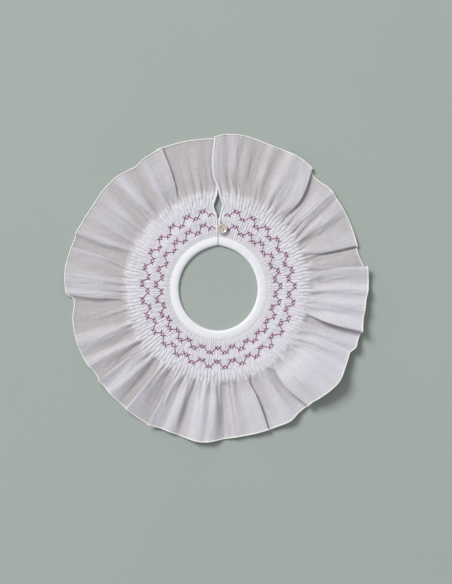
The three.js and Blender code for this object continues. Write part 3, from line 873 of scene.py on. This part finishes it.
class Palette:
    """Builds one material's nodes."""

    def __init__(self, name: str) -> None:
        """Start a material with a plain Principled shader.

        Args:
            name: the material's name.
        """
        self.material = bpy.data.materials.new(name)
        self.material.use_nodes = True
        self.tree = self.material.node_tree
        self.tree.nodes.clear()
        self.shader = self.node("ShaderNodeBsdfPrincipled")
        self.node("ShaderNodeOutputMaterial", Surface=self.wire(self.shader))

    def node(self, kind: str, settings: dict[str, object] | None = None, **inputs: object) -> bpy.types.Node:
        """Add a node.

        Args:
            kind: the node's type.
            settings: what is set on the node before its sockets.
            inputs: values or wires for its sockets, by name with _ for a space.

        Returns:
            The node.
        """
        node = self.tree.nodes.new(kind)
        for key, value in (settings or {}).items():
            setattr(node, key, value)
        for key, value in inputs.items():
            socket = self.find(node, key.replace("_", " "))
            if isinstance(value, Wire):
                self.tree.links.new(value.socket, socket)
            elif isinstance(value, tuple) and len(value) == 3 and socket.type == "RGBA":
                socket.default_value = (*value, 1.0)
            else:
                socket.default_value = value
        return node

    @staticmethod
    def find(node: bpy.types.Node, name: str) -> bpy.types.NodeSocket:
        """The enabled input of a node by its name."""
        return next(s for s in node.inputs if s.name == name and s.enabled)

    def wire(self, node: bpy.types.Node, name: str = "") -> Wire:
        """An enabled output of a node, by name or the first."""
        live = [s for s in node.outputs if s.enabled]
        return Wire(self.tree, next((s for s in live if s.name == name), live[0]))

    def place(self) -> Wire:
        """The piece's own coordinates."""
        return self.wire(self.node("ShaderNodeTexCoord"), "Object")

    def cloth(self) -> tuple[Wire, Wire]:
        """Distances over the cloth, in metres.

        Returns:
            The distance along it and the distance across it.
        """
        chart = self.wire(self.node("ShaderNodeUVMap", {"uv_map": "cloth"}))
        split = self.node("ShaderNodeSeparateXYZ", Vector=chart)
        return self.wire(split, "X"), self.wire(split, "Y")

    def height(self) -> Wire:
        """Height above the table, in metres."""
        return self.wire(self.node("ShaderNodeSeparateXYZ", Vector=self.place()), "Z")

    def noise(self, vector: Wire, scale: float, detail: float = 2.0) -> Wire:
        """Uneven values from 0 to 1.

        Args:
            vector: where it is read.
            scale: how many times finer than a metre.
            detail: how many finer layers it has.

        Returns:
            The values.
        """
        node = self.node("ShaderNodeTexNoise", Vector=vector, Scale=scale, Detail=detail)
        return self.wire(node, "Fac")

    def joined(self, x: "Operand", y: "Operand") -> Wire:
        """Two numbers as a vector."""
        return self.wire(self.node("ShaderNodeCombineXYZ", X=x, Y=y))

    def blend(self, share: Wire, first: "Colour | Wire", second: "Colour | Wire") -> Wire:
        """Mix two colours by a share from 0, the first, to 1, the second."""
        settings = {"data_type": "RGBA", "clamp_factor": True}
        return self.wire(self.node("ShaderNodeMix", settings, Factor=share, A=first, B=second))

    def bump(self, height: Wire, distance: float, strength: float = 1.0) -> None:
        """Raise the surface.

        Args:
            height: values from 0 to 1.
            distance: the height of 1, in millimetres.
            strength: how much of it shows.
        """
        node = self.node("ShaderNodeBump", None, Strength=strength, Distance=distance * MM, Height=height)
        self.feed("Normal", self.wire(node))

    def feed(self, name: str, wire: Wire) -> None:
        """Link a wire to one of the shader's sockets."""
        self.tree.links.new(wire.socket, self.shader.inputs[name])

    def set(self, **values: object) -> None:
        """Set constants on the shader's own sockets, by name with _ for a space."""
        for key, value in values.items():
            self.shader.inputs[key.replace("_", " ")].default_value = value


@dataclass(frozen=True)
class Finish:
    """What a piece is made of."""

    name: str

    def material(self) -> bpy.types.Material:
        """The material of the finish.

        Returns:
            The material, made the first time it is asked for.
        """
        known = bpy.data.materials.get(self.name)
        if known:
            return known
        palette = Palette(self.name)
        self.paint(palette)
        return palette.material

    def paint(self, palette: Palette) -> None:
        """Add the finish's nodes to a palette."""
        raise NotImplementedError


@dataclass(frozen=True)
class FineCotton(Finish):
    """Sheer plain-woven cotton: thread, slubs, and painted shade that makes it darker and warmer the lower
    it lies.
    """

    # high is the cloth's colour where it lies high; low is painted shade, the darker, warmer colour it takes
    # in the dips and near the table.
    high: Colour = (0.7, 0.676, 0.725)
    low: Colour = (0.54, 0.505, 0.505)
    shaded_height: float = 0.6
    unshaded_height: float = 5.6
    thread: float = 0.32
    weave_height: float = 0.05
    diagonal: bool = False
    crumple: float = 1.0
    slubs: float = 1.5
    fine_grain: tuple[float, float] = (2600.0, 60.0)
    long_grain: tuple[float, float] = (900.0, 22.0)
    gathered: Colour = (0.945, 0.915, 0.975)
    gathered_depth: float = 0.0
    gathered_fade: float = 14.0
    gathered_drift: float = 26.0

    def paint(self, palette: Palette) -> None:
        """Add the finish's nodes.

        Args:
            palette: takes the nodes.
        """
        along, across = palette.cloth()
        if self.diagonal:
            along, across = (along + across) * DIAGONAL, (along - across) * DIAGONAL
        turn = math.pi / (self.thread * MM)
        weave = abs((along * turn).sine()) * 0.5 + abs((across * turn).sine()) * 0.5
        grains = [
            palette.noise(palette.joined(along * a, across * b), 1.0, 1.0)
            for thin, length in (self.fine_grain, self.long_grain)
            for a, b in ((thin, length), (length, thin))
        ]
        slub = (sum(grains[1:], grains[0]) - 2.0) * 0.5
        cloudy = palette.noise(palette.place(), 45.0, 3.0)
        # Painted shade: the colour runs from low to high with the cloth's height above the table, so its
        # dips and valleys come out darker.
        climb = (self.unshaded_height - self.shaded_height) * MM
        rise = ((palette.height() - self.shaded_height * MM) / climb).clamped()
        tone = (rise * 0.9 + 0.1 + (cloudy - 0.5) * 0.45 + slub * self.slubs).clamped()
        shade = palette.blend(tone, self.low, self.high)
        if self.gathered_depth:
            drift = (palette.noise(palette.place(), 190.0, 3.0) - 0.5) * self.gathered_drift
            down = palette.cloth()[1] / MM + drift
            share = (1.0 - (down - self.gathered_depth) / self.gathered_fade).clamped()
            # Painted shade: the whiter packed colour of the gathers also fades where they lie low.
            share = share * (rise * 0.55 + 0.45)
            packed = palette.blend((slub * 1.2 + 0.7).clamped(), self.high, self.gathered)
            shade = palette.blend(share, shade, packed)
        palette.feed("Base Color", shade)
        palette.feed("Roughness", 0.86 - weave * 0.1 + slub * 0.1)
        crumple = palette.noise(palette.joined(along * 260.0, across * 46.0), 1.0, 6.0)
        palette.bump(weave * 0.1 + slub * 0.12 + crumple * self.crumple, self.weave_height * 10.0)
        palette.set(Sheen_Weight=0.25, Sheen_Roughness=0.45, Specular_IOR_Level=0.3)


@dataclass(frozen=True)
class SewingThread(Finish):
    """Twisted thread: its plies run slantwise along it, with painted shade in the grooves between them."""

    # The first colour is the thread in painted shade, in the grooves between its plies.
    groove_shade: Colour
    light: Colour
    girth: float
    lay: float = 0.9
    rough: float = 0.62
    sheen: float = 0.3

    def paint(self, palette: Palette) -> None:
        """Add the finish's nodes.

        Args:
            palette: takes the nodes.
        """
        along, across = palette.cloth()
        turn = TURN / MM
        ply = (along * (turn / self.lay) + across * (2.0 * turn / self.girth)).sine() * 0.5 + 0.5
        fuzz = palette.noise(palette.joined(along * 900.0, across * 5200.0), 1.0, 2.0)
        # Painted shade: the dark colour follows the grooves between the plies and the light one their
        # crowns; the fuzz is the thread's own uneven tone.
        tone = (ply * 0.6 + fuzz * 0.5).clamped()
        palette.feed("Base Color", palette.blend(tone, self.groove_shade, self.light))
        palette.feed("Roughness", self.rough + fuzz * 0.12)
        palette.bump(ply * 0.7 + fuzz * 0.4, 0.05)
        palette.set(Sheen_Weight=self.sheen, Sheen_Roughness=0.35, Specular_IOR_Level=0.3)


@dataclass(frozen=True)
class Pearl(Finish):
    """Polished mother-of-pearl: cloudy cream with faint pink and green layers."""

    cream: Colour = (0.68, 0.61, 0.49)
    pink: Colour = (0.62, 0.5, 0.46)
    green: Colour = (0.56, 0.6, 0.5)

    def paint(self, palette: Palette) -> None:
        """Add the finish's nodes.

        Args:
            palette: takes the nodes.
        """
        place = palette.place()
        layers = palette.noise(place, 420.0, 3.0)
        wave = palette.node("ShaderNodeTexWave", None, Vector=place, Scale=160.0, Distortion=9.0, Detail=2.0)
        bands = palette.wire(wave, "Fac")
        warm = palette.blend(bands, self.cream, self.pink)
        tone = ((layers - 0.42) * 2.2).clamped() * 0.7
        palette.feed("Base Color", palette.blend(tone, warm, self.green))
        palette.feed("Roughness", 0.16 + layers * 0.14)
        palette.bump(bands * 0.6 + layers * 0.4, 0.02)
        palette.set(Coat_Weight=0.7, Coat_Roughness=0.08, Specular_IOR_Level=0.6)


@dataclass(frozen=True)
class TableTop(Finish):
    """A plain pale matt table."""

    colour: Colour = (0.42, 0.46, 0.43)

    def paint(self, palette: Palette) -> None:
        """Add the finish's nodes.

        Args:
            palette: takes the nodes.
        """
        cloudy = palette.noise(palette.place(), 6.0, 2.0)
        light = tuple(min(1.0, c * 1.04) for c in self.colour)
        palette.feed("Base Color", palette.blend(cloudy, self.colour, light))
        palette.set(Roughness=0.9, Specular_IOR_Level=0.2)


COTTON = FineCotton("sheer cotton", gathered_depth=36.0, crumple=1.5)
# The band's low colour is painted shade on its sides and underside, the parts that lie lowest.
BAND_COTTON = FineCotton(
    "bias cotton",
    high=(0.93, 0.93, 0.96),
    low=(0.86, 0.86, 0.9),
    shaded_height=0.0,
    unshaded_height=2.5,
    weave_height=0.03,
    diagonal=True,
    crumple=0.3,
    slubs=0.3,
)
# The hems' low colour is painted shade as well: they darken where they lie low, out on the ruffle.
HEM_COTTON = FineCotton(
    "hem cotton", high=(0.9, 0.885, 0.92), low=(0.84, 0.82, 0.83), crumple=0.2, slubs=0.3
)
# Each thread's dark colour is painted shade between its plies.
EDGE_THREAD = SewingThread(
    "edge thread", groove_shade=(0.86, 0.85, 0.79), light=(0.96, 0.96, 0.9), lay=1.5, girth=3.4
)
WHITE_THREAD = SewingThread(
    "white thread", groove_shade=(0.76, 0.76, 0.77), light=(0.9, 0.9, 0.9), girth=1.4
)
PLUM_THREAD = SewingThread(
    "plum thread", groove_shade=(0.165, 0.018, 0.088), light=(0.39, 0.078, 0.235), girth=1.8, sheen=0.1
)
PEARL = Pearl("mother of pearl")


# ---- The collar's pieces -----------------------------------------------------------------------
@dataclass
class SmockedRuffle:
    """The strip of cloth: a pleated yoke and the ruffle that it lets out, with its hems."""

    bench: Workbench
    form: CollarForm
    cloth_thick: float = 0.2
    tuck: float = 1.4
    yoke_shows: float = 560.0
    yoke_rows: int = 30
    ruffle_rows: int = 42
    strip_length: float = 1060.0
    ruffle_drop: float = 66.0
    edge_radius: float = 0.74
    edge_wrap: float = 1.5
    end_hem_width: float = 1.8
    hem_inset: float = 0.25
    free_hem_inset: float = 0.45
    free_hem_rise: float = 0.25
    let_out: float = 8.0

    def ruffle_depths(self, count: int) -> Array:
        """Depth shares of the ruffle's rows, closer together beside the yoke."""
        return np.linspace(0.0, 1.0, count) ** 1.15

    def build(self) -> None:
        """Make and dress the strip's pieces."""
        ruffle = self.ruffle()
        yoke = self.yoke()
        edge = self.rolled_edge()
        hems = self.end_hems()
        for piece in (yoke, ruffle):
            self.bench.thicken(piece, self.cloth_thick)
            self.bench.dress(piece, COTTON, "cloth", "smocked_ruffle")
        self.bench.dress(edge, EDGE_THREAD, "cloth")
        self.bench.dress(hems, HEM_COTTON, "cloth")

    def lay_strip(self, name: str, surface: Array, downs: Array) -> bpy.types.Object:
        """Lay a stretch of the strip.

        Args:
            name: the piece's name.
            surface: its points, by row from the outermost inwards and by column.
            downs: each row's distance down the strip.

        Returns:
            The piece.
        """
        rows, columns = surface.shape[0] - 1, surface.shape[1] - 1

        def form(u: Array, v: Array, k: Array) -> Array:
            """Points of the strip."""
            return surface[np.round(v * rows).astype(int), np.round(u * columns).astype(int)]

        def cloth(u: Array, v: Array, k: Array) -> Array:
            """Distances along and down the strip."""
            return np.stack([u * self.strip_length, downs[np.round(v * rows).astype(int)]], axis=-1)

        return self.bench.lay(name, [(columns, rows)], form, cloth)

    def yoke(self) -> bpy.types.Object:
        """The smocked pleats, from the last row of gathers to their tucked ends under the band.

        Returns:
            The piece.
        """
        outs = np.linspace(self.form.yoke_depth, -self.tuck, self.yoke_rows + 1)
        surface = self.form.yoke(self.form.pleat_places()[None, :], outs[:, None])
        return self.lay_strip("smocked_yoke", surface, outs)

    def let_out_cloth(self, depths: Array, places: Array) -> Array:
        """Points of the free cloth, which leaves the yoke in line with its pleats.

        Args:
            depths: shares of the ruffle's depth, one for each row.
            places: places along the strip, one for each column.

        Returns:
            Points, by row and column.
        """
        run = depths * self.form.ruffle_reach
        held = self.form.yoke(places[None, :], self.form.yoke_depth + run[:, None])
        free = smoothstep(run, 0.0, self.let_out)[:, None, None]
        return self.form.ruffle(depths, places) * free + held * (1.0 - free)

    def ruffle(self) -> bpy.types.Object:
        """The free part of the strip, from the last row of gathers to its rolled edge.

        Returns:
            The piece.
        """
        depths = self.ruffle_depths(self.ruffle_rows + 1)
        surface = self.let_out_cloth(depths, self.form.pleat_places())
        downs = self.form.yoke_depth + depths * self.ruffle_drop
        return self.lay_strip("ruffle", surface[::-1], downs[::-1])

    def rolled_edge(self) -> bpy.types.Object:
        """The roll along the ruffle's edge, wrapped slantwise with thread.

        Returns:
            The piece.
        """
        places = np.linspace(0.0, 360.0, 4600)
        row = self.form.ruffle(np.array([1.0]), places)[0]
        outward = row[:, :2] / np.linalg.norm(row[:, :2], axis=1, keepdims=True)
        row[:, :2] += outward * self.edge_radius * 0.6
        row[:, 2] = np.maximum(row[:, 2], self.edge_radius * 1.05)
        return Strands(sides=8, steps=len(places) - 1).build(
            self.bench, "rolled_edge", [row], self.edge_radius, twist=1.0, ridge=0.12, lay=self.edge_wrap
        )

    def end_hems(self) -> bpy.types.Object:
        """The narrow hems up the strip's two ends, from the band to the rolled edge.

        Returns:
            The piece.
        """
        paths = []
        for end in End:
            inward = 1.0 if end is End.OVER else -1.0
            outs = np.linspace(-self.tuck, self.form.yoke_depth, 40)
            half = np.degrees(self.end_hem_width / 2.0 / (outs + self.form.rough_seam))
            place = end.value + inward * (self.hem_inset + half)
            yoke = self.form.yoke(place, outs)
            sunk = 0.7 * (1.0 - smoothstep(outs, -self.tuck, 0.8))
            yoke[:, 2] = self.form.yoke_crest(outs) + 0.1 - sunk
            depths = self.ruffle_depths(60)[1:]
            free_place = np.array([end.value + inward * self.free_hem_inset])
            free = self.let_out_cloth(depths, free_place)[:, 0]
            free[:, 2] += self.free_hem_rise
            path = np.concatenate([yoke, free])
            relax(path, 6)
            paths.append(path)
        return Strands(sides=12, steps=120).build(
            self.bench, "end_hems", paths, self.end_hem_width / 2.0, flat=0.34
        )


@dataclass
class SmockingStitches:
    """Two rows of plum wave stitches, each turn of a wave crossed by a short counter-stitch."""

    bench: Workbench
    form: CollarForm
    thread_radius: float = 0.38
    cross_half: float = 1.95
    apex: float = 1.95
    tail_along: float = 2.0
    tail_out: float = 2.5
    trough_angle: float = 181.0
    counter_lift: float = 0.18
    opening_margin: float = 0.8
    steps: int = 12

    def build(self) -> None:
        """Make and dress both rows."""
        for row in StitchRow:
            paths = [p for p in self.waves(row) if self.on_cloth(p)]
            name = f"stitches_{row.name.lower()}"
            piece = Strands(sides=6, steps=self.steps).build(
                self.bench, name, paths, self.thread_radius, twist=2.0, ridge=0.1, lay=0.9
            )
            self.bench.dress(piece, PLUM_THREAD, "cloth")

    def on_cloth(self, path: Array) -> bool:
        """Tell whether a stitch keeps clear of the back opening.

        Args:
            path: the stitch's points.

        Returns:
            True when all of it does.
        """
        radius = np.linalg.norm(path[:, :2], axis=1)
        out = radius - self.form.seam_radius(np.zeros_like(radius))
        half = np.interp(out, self.form.slit_out, self.form.slit_half) + self.opening_margin
        return bool(np.all((np.abs(path[:, 0]) > half) | (path[:, 1] < 0)))

    def waves(self, row: StitchRow) -> list[Array]:
        """Every stitch of a row.

        Args:
            row: which of the two rows.

        Returns:
            The path of each stitch.
        """
        trough, peak, count = row.value
        rng = np.random.default_rng(count)
        pitch = 360.0 / count
        turns = []
        for i in range(2 * count):
            low = i % 2 == 0
            out = (trough if low else peak) + rng.uniform(-0.45, 0.45)
            angle = self.trough_angle + pitch * i / 2.0 + rng.uniform(-0.5, 0.5)
            turns.append((angle, out, -1.0 if low else 1.0, rng.uniform(0.88, 1.12)))
        paths = []
        for i, (angle, out, side, size) in enumerate(turns):
            after = turns[(i + 1) % len(turns)]
            ahead = after[0] + (360.0 if after[0] < angle else 0.0)
            half, apex = self.cross_half * size, self.apex * size
            after_half, after_apex = self.cross_half * after[3], self.apex * after[3]
            wave = [
                (angle, 0.0, out + side * apex),
                (angle, half, out),
                (ahead, -after_half, after[1]),
                (ahead, 0.0, after[1] + after[2] * after_apex),
            ]
            tail, rise = half + self.tail_along * size, side * self.tail_out * size
            counter = [
                (angle, -tail, out + rise),
                (angle, -half, out),
                (angle, 0.0, out - side * apex),
                (angle, half, out),
                (angle, tail, out + rise),
            ]
            paths += [self.stitch(wave, 0.0), self.stitch(counter, self.counter_lift)]
        return paths

    def stitch(self, corners: Sequence[tuple[float, float, float]], lift: float) -> Array:
        """A stitch over the pleats through corners.

        Args:
            corners: each an angle, a distance along from it and a distance out of the band.
            lift: how much higher than a first stitch it lies.

        Returns:
            Its path, sunk into the cloth at both ends.
        """
        seam = self.form.rough_seam
        corner_angle = np.array([a + math.degrees(t / (seam + out)) for a, t, out in corners])
        corner_out = np.array([out for _, _, out in corners])
        at = np.linspace(0.0, len(corners) - 1.0, self.steps + 1)
        angle = np.interp(at, np.arange(len(corners)), corner_angle)
        out = np.interp(at, np.arange(len(corners)), corner_out)
        share = np.linspace(0.0, 1.0, self.steps + 1)
        arch = np.clip(np.sin(share * math.pi) * 4.0, 0.0, 1.0)
        height = self.form.yoke_crest(out) + self.thread_radius * (arch * 2.2 - 1.6) + lift * arch
        return polar(angle, self.form.seam_radius(angle) + out, height)


@dataclass
class NeckBand:
    """The bias strip that binds the neck edge, folded over it and stitched down."""

    bench: Workbench
    form: CollarForm
    thick: float = 3.4
    crown: float = 0.5
    seam_dip: float = 0.14
    foot: float = 0.06
    end_gap: float = 0.25
    columns: int = 720
    section: int = 30
    stitch_pitch: float = 2.6
    stitch_length: float = 1.7
    stitch_radius: float = 0.16

    def edge_angles(self) -> tuple[float, float]:
        """The band's first and last angle, either side of the back opening."""
        gap = math.degrees(self.end_gap / (self.form.neck_half_length + self.form.band_width / 2.0))
        return gap, 360.0 - gap

    def top(self, share: Array, angle: Array) -> Array:
        """Height of the band's upper face.

        Args:
            share: 0 at the neck edge to 1 at the outer edge.
            angle: where round the neck.

        Returns:
            The height.
        """
        crown = self.thick + self.crown * np.exp(-(((share - 0.35) / 0.3) ** 2))
        crown = crown - 0.1 * smoothstep(share, 0.7, 1.0)
        seam = self.seam_dip * np.exp(-(((share - 0.9) / 0.035) ** 2))
        pucker = 0.1 * wobble(angle * 1.4, 21, (1.0, 1.6, 2.3)) * smoothstep(share, 0.45, 0.95)
        drag = 0.07 * wobble(angle * 0.45 + share * 3.0, 22)
        return crown - seam + pucker + drag

    def build(self) -> None:
        """Make and dress the band and its stitches."""
        start, end = self.edge_angles()
        width = self.form.band_width

        def form(u: Array, v: Array, k: Array) -> Array:
            """Points of the band.

            Args:
                u: share of the way round the neck.
                v: share of the way round the band's section.
                k: number of the grid; there is only one.

            Returns:
                The points.
            """
            angle = start + (end - start) * u
            turn = v * TURN
            across = 0.5 - 0.5 * np.sign(np.cos(turn)) * np.abs(np.cos(turn)) ** 0.62
            lift = np.sin(turn)
            up = self.top(across, angle)
            rim = np.abs(lift) ** 0.55
            middle = 0.42 * up
            upper, lower = middle + (up - middle) * rim, middle - (middle - self.foot) * rim
            height = np.where(lift >= 0.0, upper, lower)
            return polar(angle, self.form.neck_radius(angle) + across * width, height)

        def cloth(u: Array, v: Array, k: Array) -> Array:
            """Distances round the neck and across the folded strip."""
            girth = TURN * (self.form.neck_half_length + width / 2.0)
            return np.stack([u * girth, v * 2.1 * width], axis=-1)

        band = self.bench.lay("neck_binding", [(self.columns, self.section)], form, cloth, closed=True)
        self.bench.dress(band, BAND_COTTON, "band", "neck_band")
        stitches = self.stitches()
        self.bench.dress(stitches, WHITE_THREAD, "band")

    def stitches(self) -> bpy.types.Object:
        """The small stitches that hold the band's outer edge.

        Returns:
            The piece.
        """
        start, end = self.edge_angles()
        radius = self.form.neck_half_length + self.form.band_width
        count = int(TURN * radius / self.stitch_pitch)
        rng = np.random.default_rng(31)
        paths = []
        for i in range(count):
            angle = start + 0.8 + (end - start - 1.6) * i / (count - 1) + rng.uniform(-0.15, 0.15)
            half = math.degrees(self.stitch_length / 2.0 / radius)
            sweep = np.linspace(angle - half, angle + half, 7)
            share = 0.9 + 0.01 * np.sin(sweep)
            height = self.top(share, sweep) + 0.14 * np.sin(np.linspace(0.0, math.pi, 7)) - 0.02
            paths.append(polar(sweep, self.form.neck_radius(sweep) + share * self.form.band_width, height))
        return Strands(sides=6, steps=6).build(self.bench, "band_stitches", paths, self.stitch_radius)


@dataclass
class BackClosure:
    """The button, the thread that holds it and the loop that it goes through."""

    bench: Workbench
    form: CollarForm
    radius: float = 5.0
    thick: float = 2.0
    rim: float = 1.1
    bevel: float = 0.3
    dish: float = 0.5
    hole_radius: float = 0.65
    hole_spacing: float = 2.9
    hole_turn: float = 40.0
    crisp_angle: float = 40.0
    steps: int = 96
    strand_radius: float = 0.09
    strands_apart: float = 0.2
    loop_radius: float = 0.45

    def middle(self) -> Vector:
        """Middle of the button's underside, in the frame."""
        low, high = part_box("button")
        return Vector(((low[0] + high[0]) / 2.0, (low[1] + high[1]) / 2.0, low[2]))

    def build(self) -> None:
        """Make and dress the closure's pieces."""
        self.bench.dress(self.button(), PEARL, "button", "button")
        self.bench.dress(self.sewing(), WHITE_THREAD, "button")
        self.bench.dress(self.loop(), WHITE_THREAD, "loop", "button_loop")

    def button(self) -> bpy.types.Object:
        """A round two-hole button with a raised rim.

        Returns:
            The piece.
        """
        outer, inner = self.radius, self.radius - self.rim
        top, well = self.thick, self.thick - self.dish
        outline = [
            (0.0, 0.0),
            (outer - 1.1, 0.0),
            (outer - 0.45, 0.18),
            (outer, 0.75),
            (outer, top - 0.6),
            (outer - 0.12, top - 0.22),
            (outer - self.bevel - 0.1, top),
            (inner + 0.15, top),
            (inner - 0.15, top - 0.12),
            (inner - 0.75, well),
            (inner - 2.2, well - 0.1),
            (0.0, well - 0.12),
        ]
        centre = self.middle()
        bm = bmesh.new()
        chain = [bm.verts.new(centre + Vector((x, 0.0, z)) * MM) for x, z in outline]
        edges = [bm.edges.new(pair) for pair in zip(chain[:-1], chain[1:])]
        bmesh.ops.spin(
            bm,
            geom=[*chain, *edges],
            cent=centre,
            axis=(0.0, 0.0, 1.0),
            angle=TURN,
            steps=self.steps,
            use_merge=True,
        )
        bmesh.ops.remove_doubles(bm, verts=bm.verts, dist=1e-7)
        bmesh.ops.recalc_face_normals(bm, faces=bm.faces)
        piece = self.bench.show("pearl_button", self.bench.mesh("pearl_button", bm))
        self.drill(piece)
        piece.data.shade_smooth()
        piece.data.set_sharp_from_angle(angle=math.radians(self.crisp_angle))
        return piece

    def holes(self) -> list[Vector]:
        """The places of the button's two holes.

        Returns:
            Where each meets the underside, in the frame.
        """
        turn = math.radians(self.hole_turn)
        way = Vector((math.cos(turn), -math.sin(turn), 0.0)) * (self.hole_spacing / 2.0 * MM)
        return [self.middle() - way, self.middle() + way]

    def drill(self, piece: bpy.types.Object) -> None:
        """Cut the holes through the button.

        Args:
            piece: the button, which is changed.
        """
        bm = bmesh.new()
        for spot in self.holes():
            bmesh.ops.create_cone(
                bm,
                cap_ends=True,
                segments=32,
                radius1=self.hole_radius * MM,
                radius2=self.hole_radius * MM,
                depth=3.0 * self.thick * MM,
                matrix=Matrix.Translation(spot),
            )
        drill = self.bench.show("drill", self.bench.mesh("drill", bm))
        cut = piece.modifiers.new("holes", "BOOLEAN")
        cut.operation = "DIFFERENCE"
        cut.solver = "EXACT"
        cut.object = drill
        shaped = bpy.data.meshes.new_from_object(piece.evaluated_get(bpy.context.evaluated_depsgraph_get()))
        piece.modifiers.clear()
        piece.data = shaped
        bpy.data.objects.remove(drill)

    def to_bench(self, point: Vector) -> Array:
        """A point of the frame in the bench's millimetres."""
        x, y = self.bench.centre
        return np.array([(point.x - x) / MM, (point.y - y) / MM, point.z / MM])

    def sewing(self) -> bpy.types.Object:
        """The strands through the button's holes and down into the yoke.

        Returns:
            The piece.
        """
        first, second = (self.to_bench(p) for p in self.holes())
        way = (second - first) / np.linalg.norm(second - first)
        side = np.array([way[1], -way[0], 0.0])
        low, high = self.form.yoke_crest(np.array(8.0)) - 0.6, self.thick - self.dish - 0.05
        lip, bow = np.array([0.0, 0.0, high]), np.array([0.0, 0.0, high + 0.16])
        strands = Strands(sides=8, steps=32)
        paths = []
        for k in (-0.5, 0.5):
            shift = side * self.strands_apart * k
            near, far = first + shift, second + shift
            path = np.array([
                near + way * 0.4,
                near + way * 0.4 + lip,
                near + way * 0.7 + bow,
                far - way * 0.7 + bow,
                far - way * 0.4 + lip,
                far - way * 0.4,
            ])
            path[0, 2] = path[-1, 2] = float(low)
            at = np.linspace(0.0, len(path) - 1.0, strands.steps + 1)
            path = read_path(at, np.arange(len(path)), path)
            relax(path, 3)
            paths.append(path)
        up = np.array([side[0], side[1], 0.01])
        return strands.build(self.bench, "button_thread", paths, self.strand_radius, up=up)

    def loop(self) -> bpy.types.Object:
        """The loop of thread from the under end, round the button's shank.

        Returns:
            The piece.
        """
        low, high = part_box("button_loop")
        first, last = self.to_bench(Vector(low)), self.to_bench(Vector(high))
        y, z = (first[1] + last[1]) / 2.0, (first[2] + last[2]) / 2.0
        bend = (last[1] - first[1]) / 2.0 - self.loop_radius
        straight = last[0] - self.loop_radius - bend
        turn = np.linspace(math.pi / 2.0, -math.pi / 2.0, 30)
        run = np.linspace(first[0], straight, 12)[:-1]
        x = np.concatenate([run, straight + bend * np.cos(turn), run[::-1]])
        aside = np.concatenate([np.full_like(run, bend), bend * np.sin(turn), np.full_like(run, -bend)])
        path = np.stack([x, y + aside, np.full_like(x, z)], axis=-1)
        return Strands(sides=10, steps=160).build(
            self.bench, "thread_loop", [path], self.loop_radius, twist=2.0, ridge=0.12, lay=1.4
        )


# ---- The table, the light and the camera -------------------------------------------------------
@dataclass
class Studio:
    """A pale table, soft light from the upper left and a camera straight above."""

    bench: Workbench
    camera_offset: tuple[float, float] = (8.0, -3.1)
    camera_height: float = 1.4
    view_height: float = 0.5957
    sensor: float = 24.0
    key_place: Triple = (-4.5, 4.7, 6.2)
    key_size: float = 3.9
    key_power: float = 610.0
    fill: float = 0.40
    fill_colour: tuple[float, float, float, float] = (0.94, 0.97, 1.0, 1.0)
    table_half: float = 6.0
    above_cloth: float = 0.003
    farthest: float = 20.0

    def build(self) -> None:
        """Make the table, the lights and the camera."""
        self.table()
        self.lights()
        self.camera()

    def table(self) -> None:
        """The table's top, just under the collar."""
        bm = bmesh.new()
        bmesh.ops.create_grid(bm, x_segments=1, y_segments=1, size=self.table_half)
        table = self.bench.show("table", self.bench.mesh("table", bm))
        table.data.materials.append(TableTop("pale table").material())

    def lights(self) -> None:
        """A large soft key light and an even fill."""
        data = bpy.data.lights.new("key", "AREA")
        data.shape = "DISK"
        data.size = self.key_size
        data.energy = self.key_power
        key = self.bench.show("key", data)
        key.location = self.key_place
        key.rotation_euler = (-Vector(self.key_place)).to_track_quat("-Z", "Y").to_euler()
        world = bpy.data.worlds.new("studio")
        world.use_nodes = True
        back = world.node_tree.nodes["Background"]
        back.inputs["Color"].default_value = self.fill_colour
        back.inputs["Strength"].default_value = self.fill
        bpy.context.scene.world = world

    def camera(self) -> None:
        """The camera, looking straight down."""
        data = bpy.data.cameras.new("camera")
        data.sensor_fit = "VERTICAL"
        data.sensor_height = self.sensor
        data.lens = self.sensor * self.camera_height / self.view_height
        data.clip_end = self.farthest
        camera = self.bench.show("camera", data)
        x, y = (c + o * MM for c, o in zip(self.bench.centre, self.camera_offset))
        camera.location = (x, y, self.camera_height + self.above_cloth)
        bpy.context.scene.camera = camera


def main() -> None:
    """Build the collar and its studio."""
    logging.basicConfig(level=logging.INFO, format="%(name)s: %(message)s")
    form = CollarForm()
    low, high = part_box("neck_band")
    centre = ((low[0] + high[0]) / 2.0, low[1] + (form.neck_half_length + form.band_width) * MM)
    bench = Workbench(centre)
    Studio(bench).build()
    SmockedRuffle(bench, form).build()
    SmockingStitches(bench, form).build()
    NeckBand(bench, form).build()
    BackClosure(bench, form).build()
    bpy.context.scene.view_settings.view_transform = "Standard"


if __name__ == "__main__":
    main()
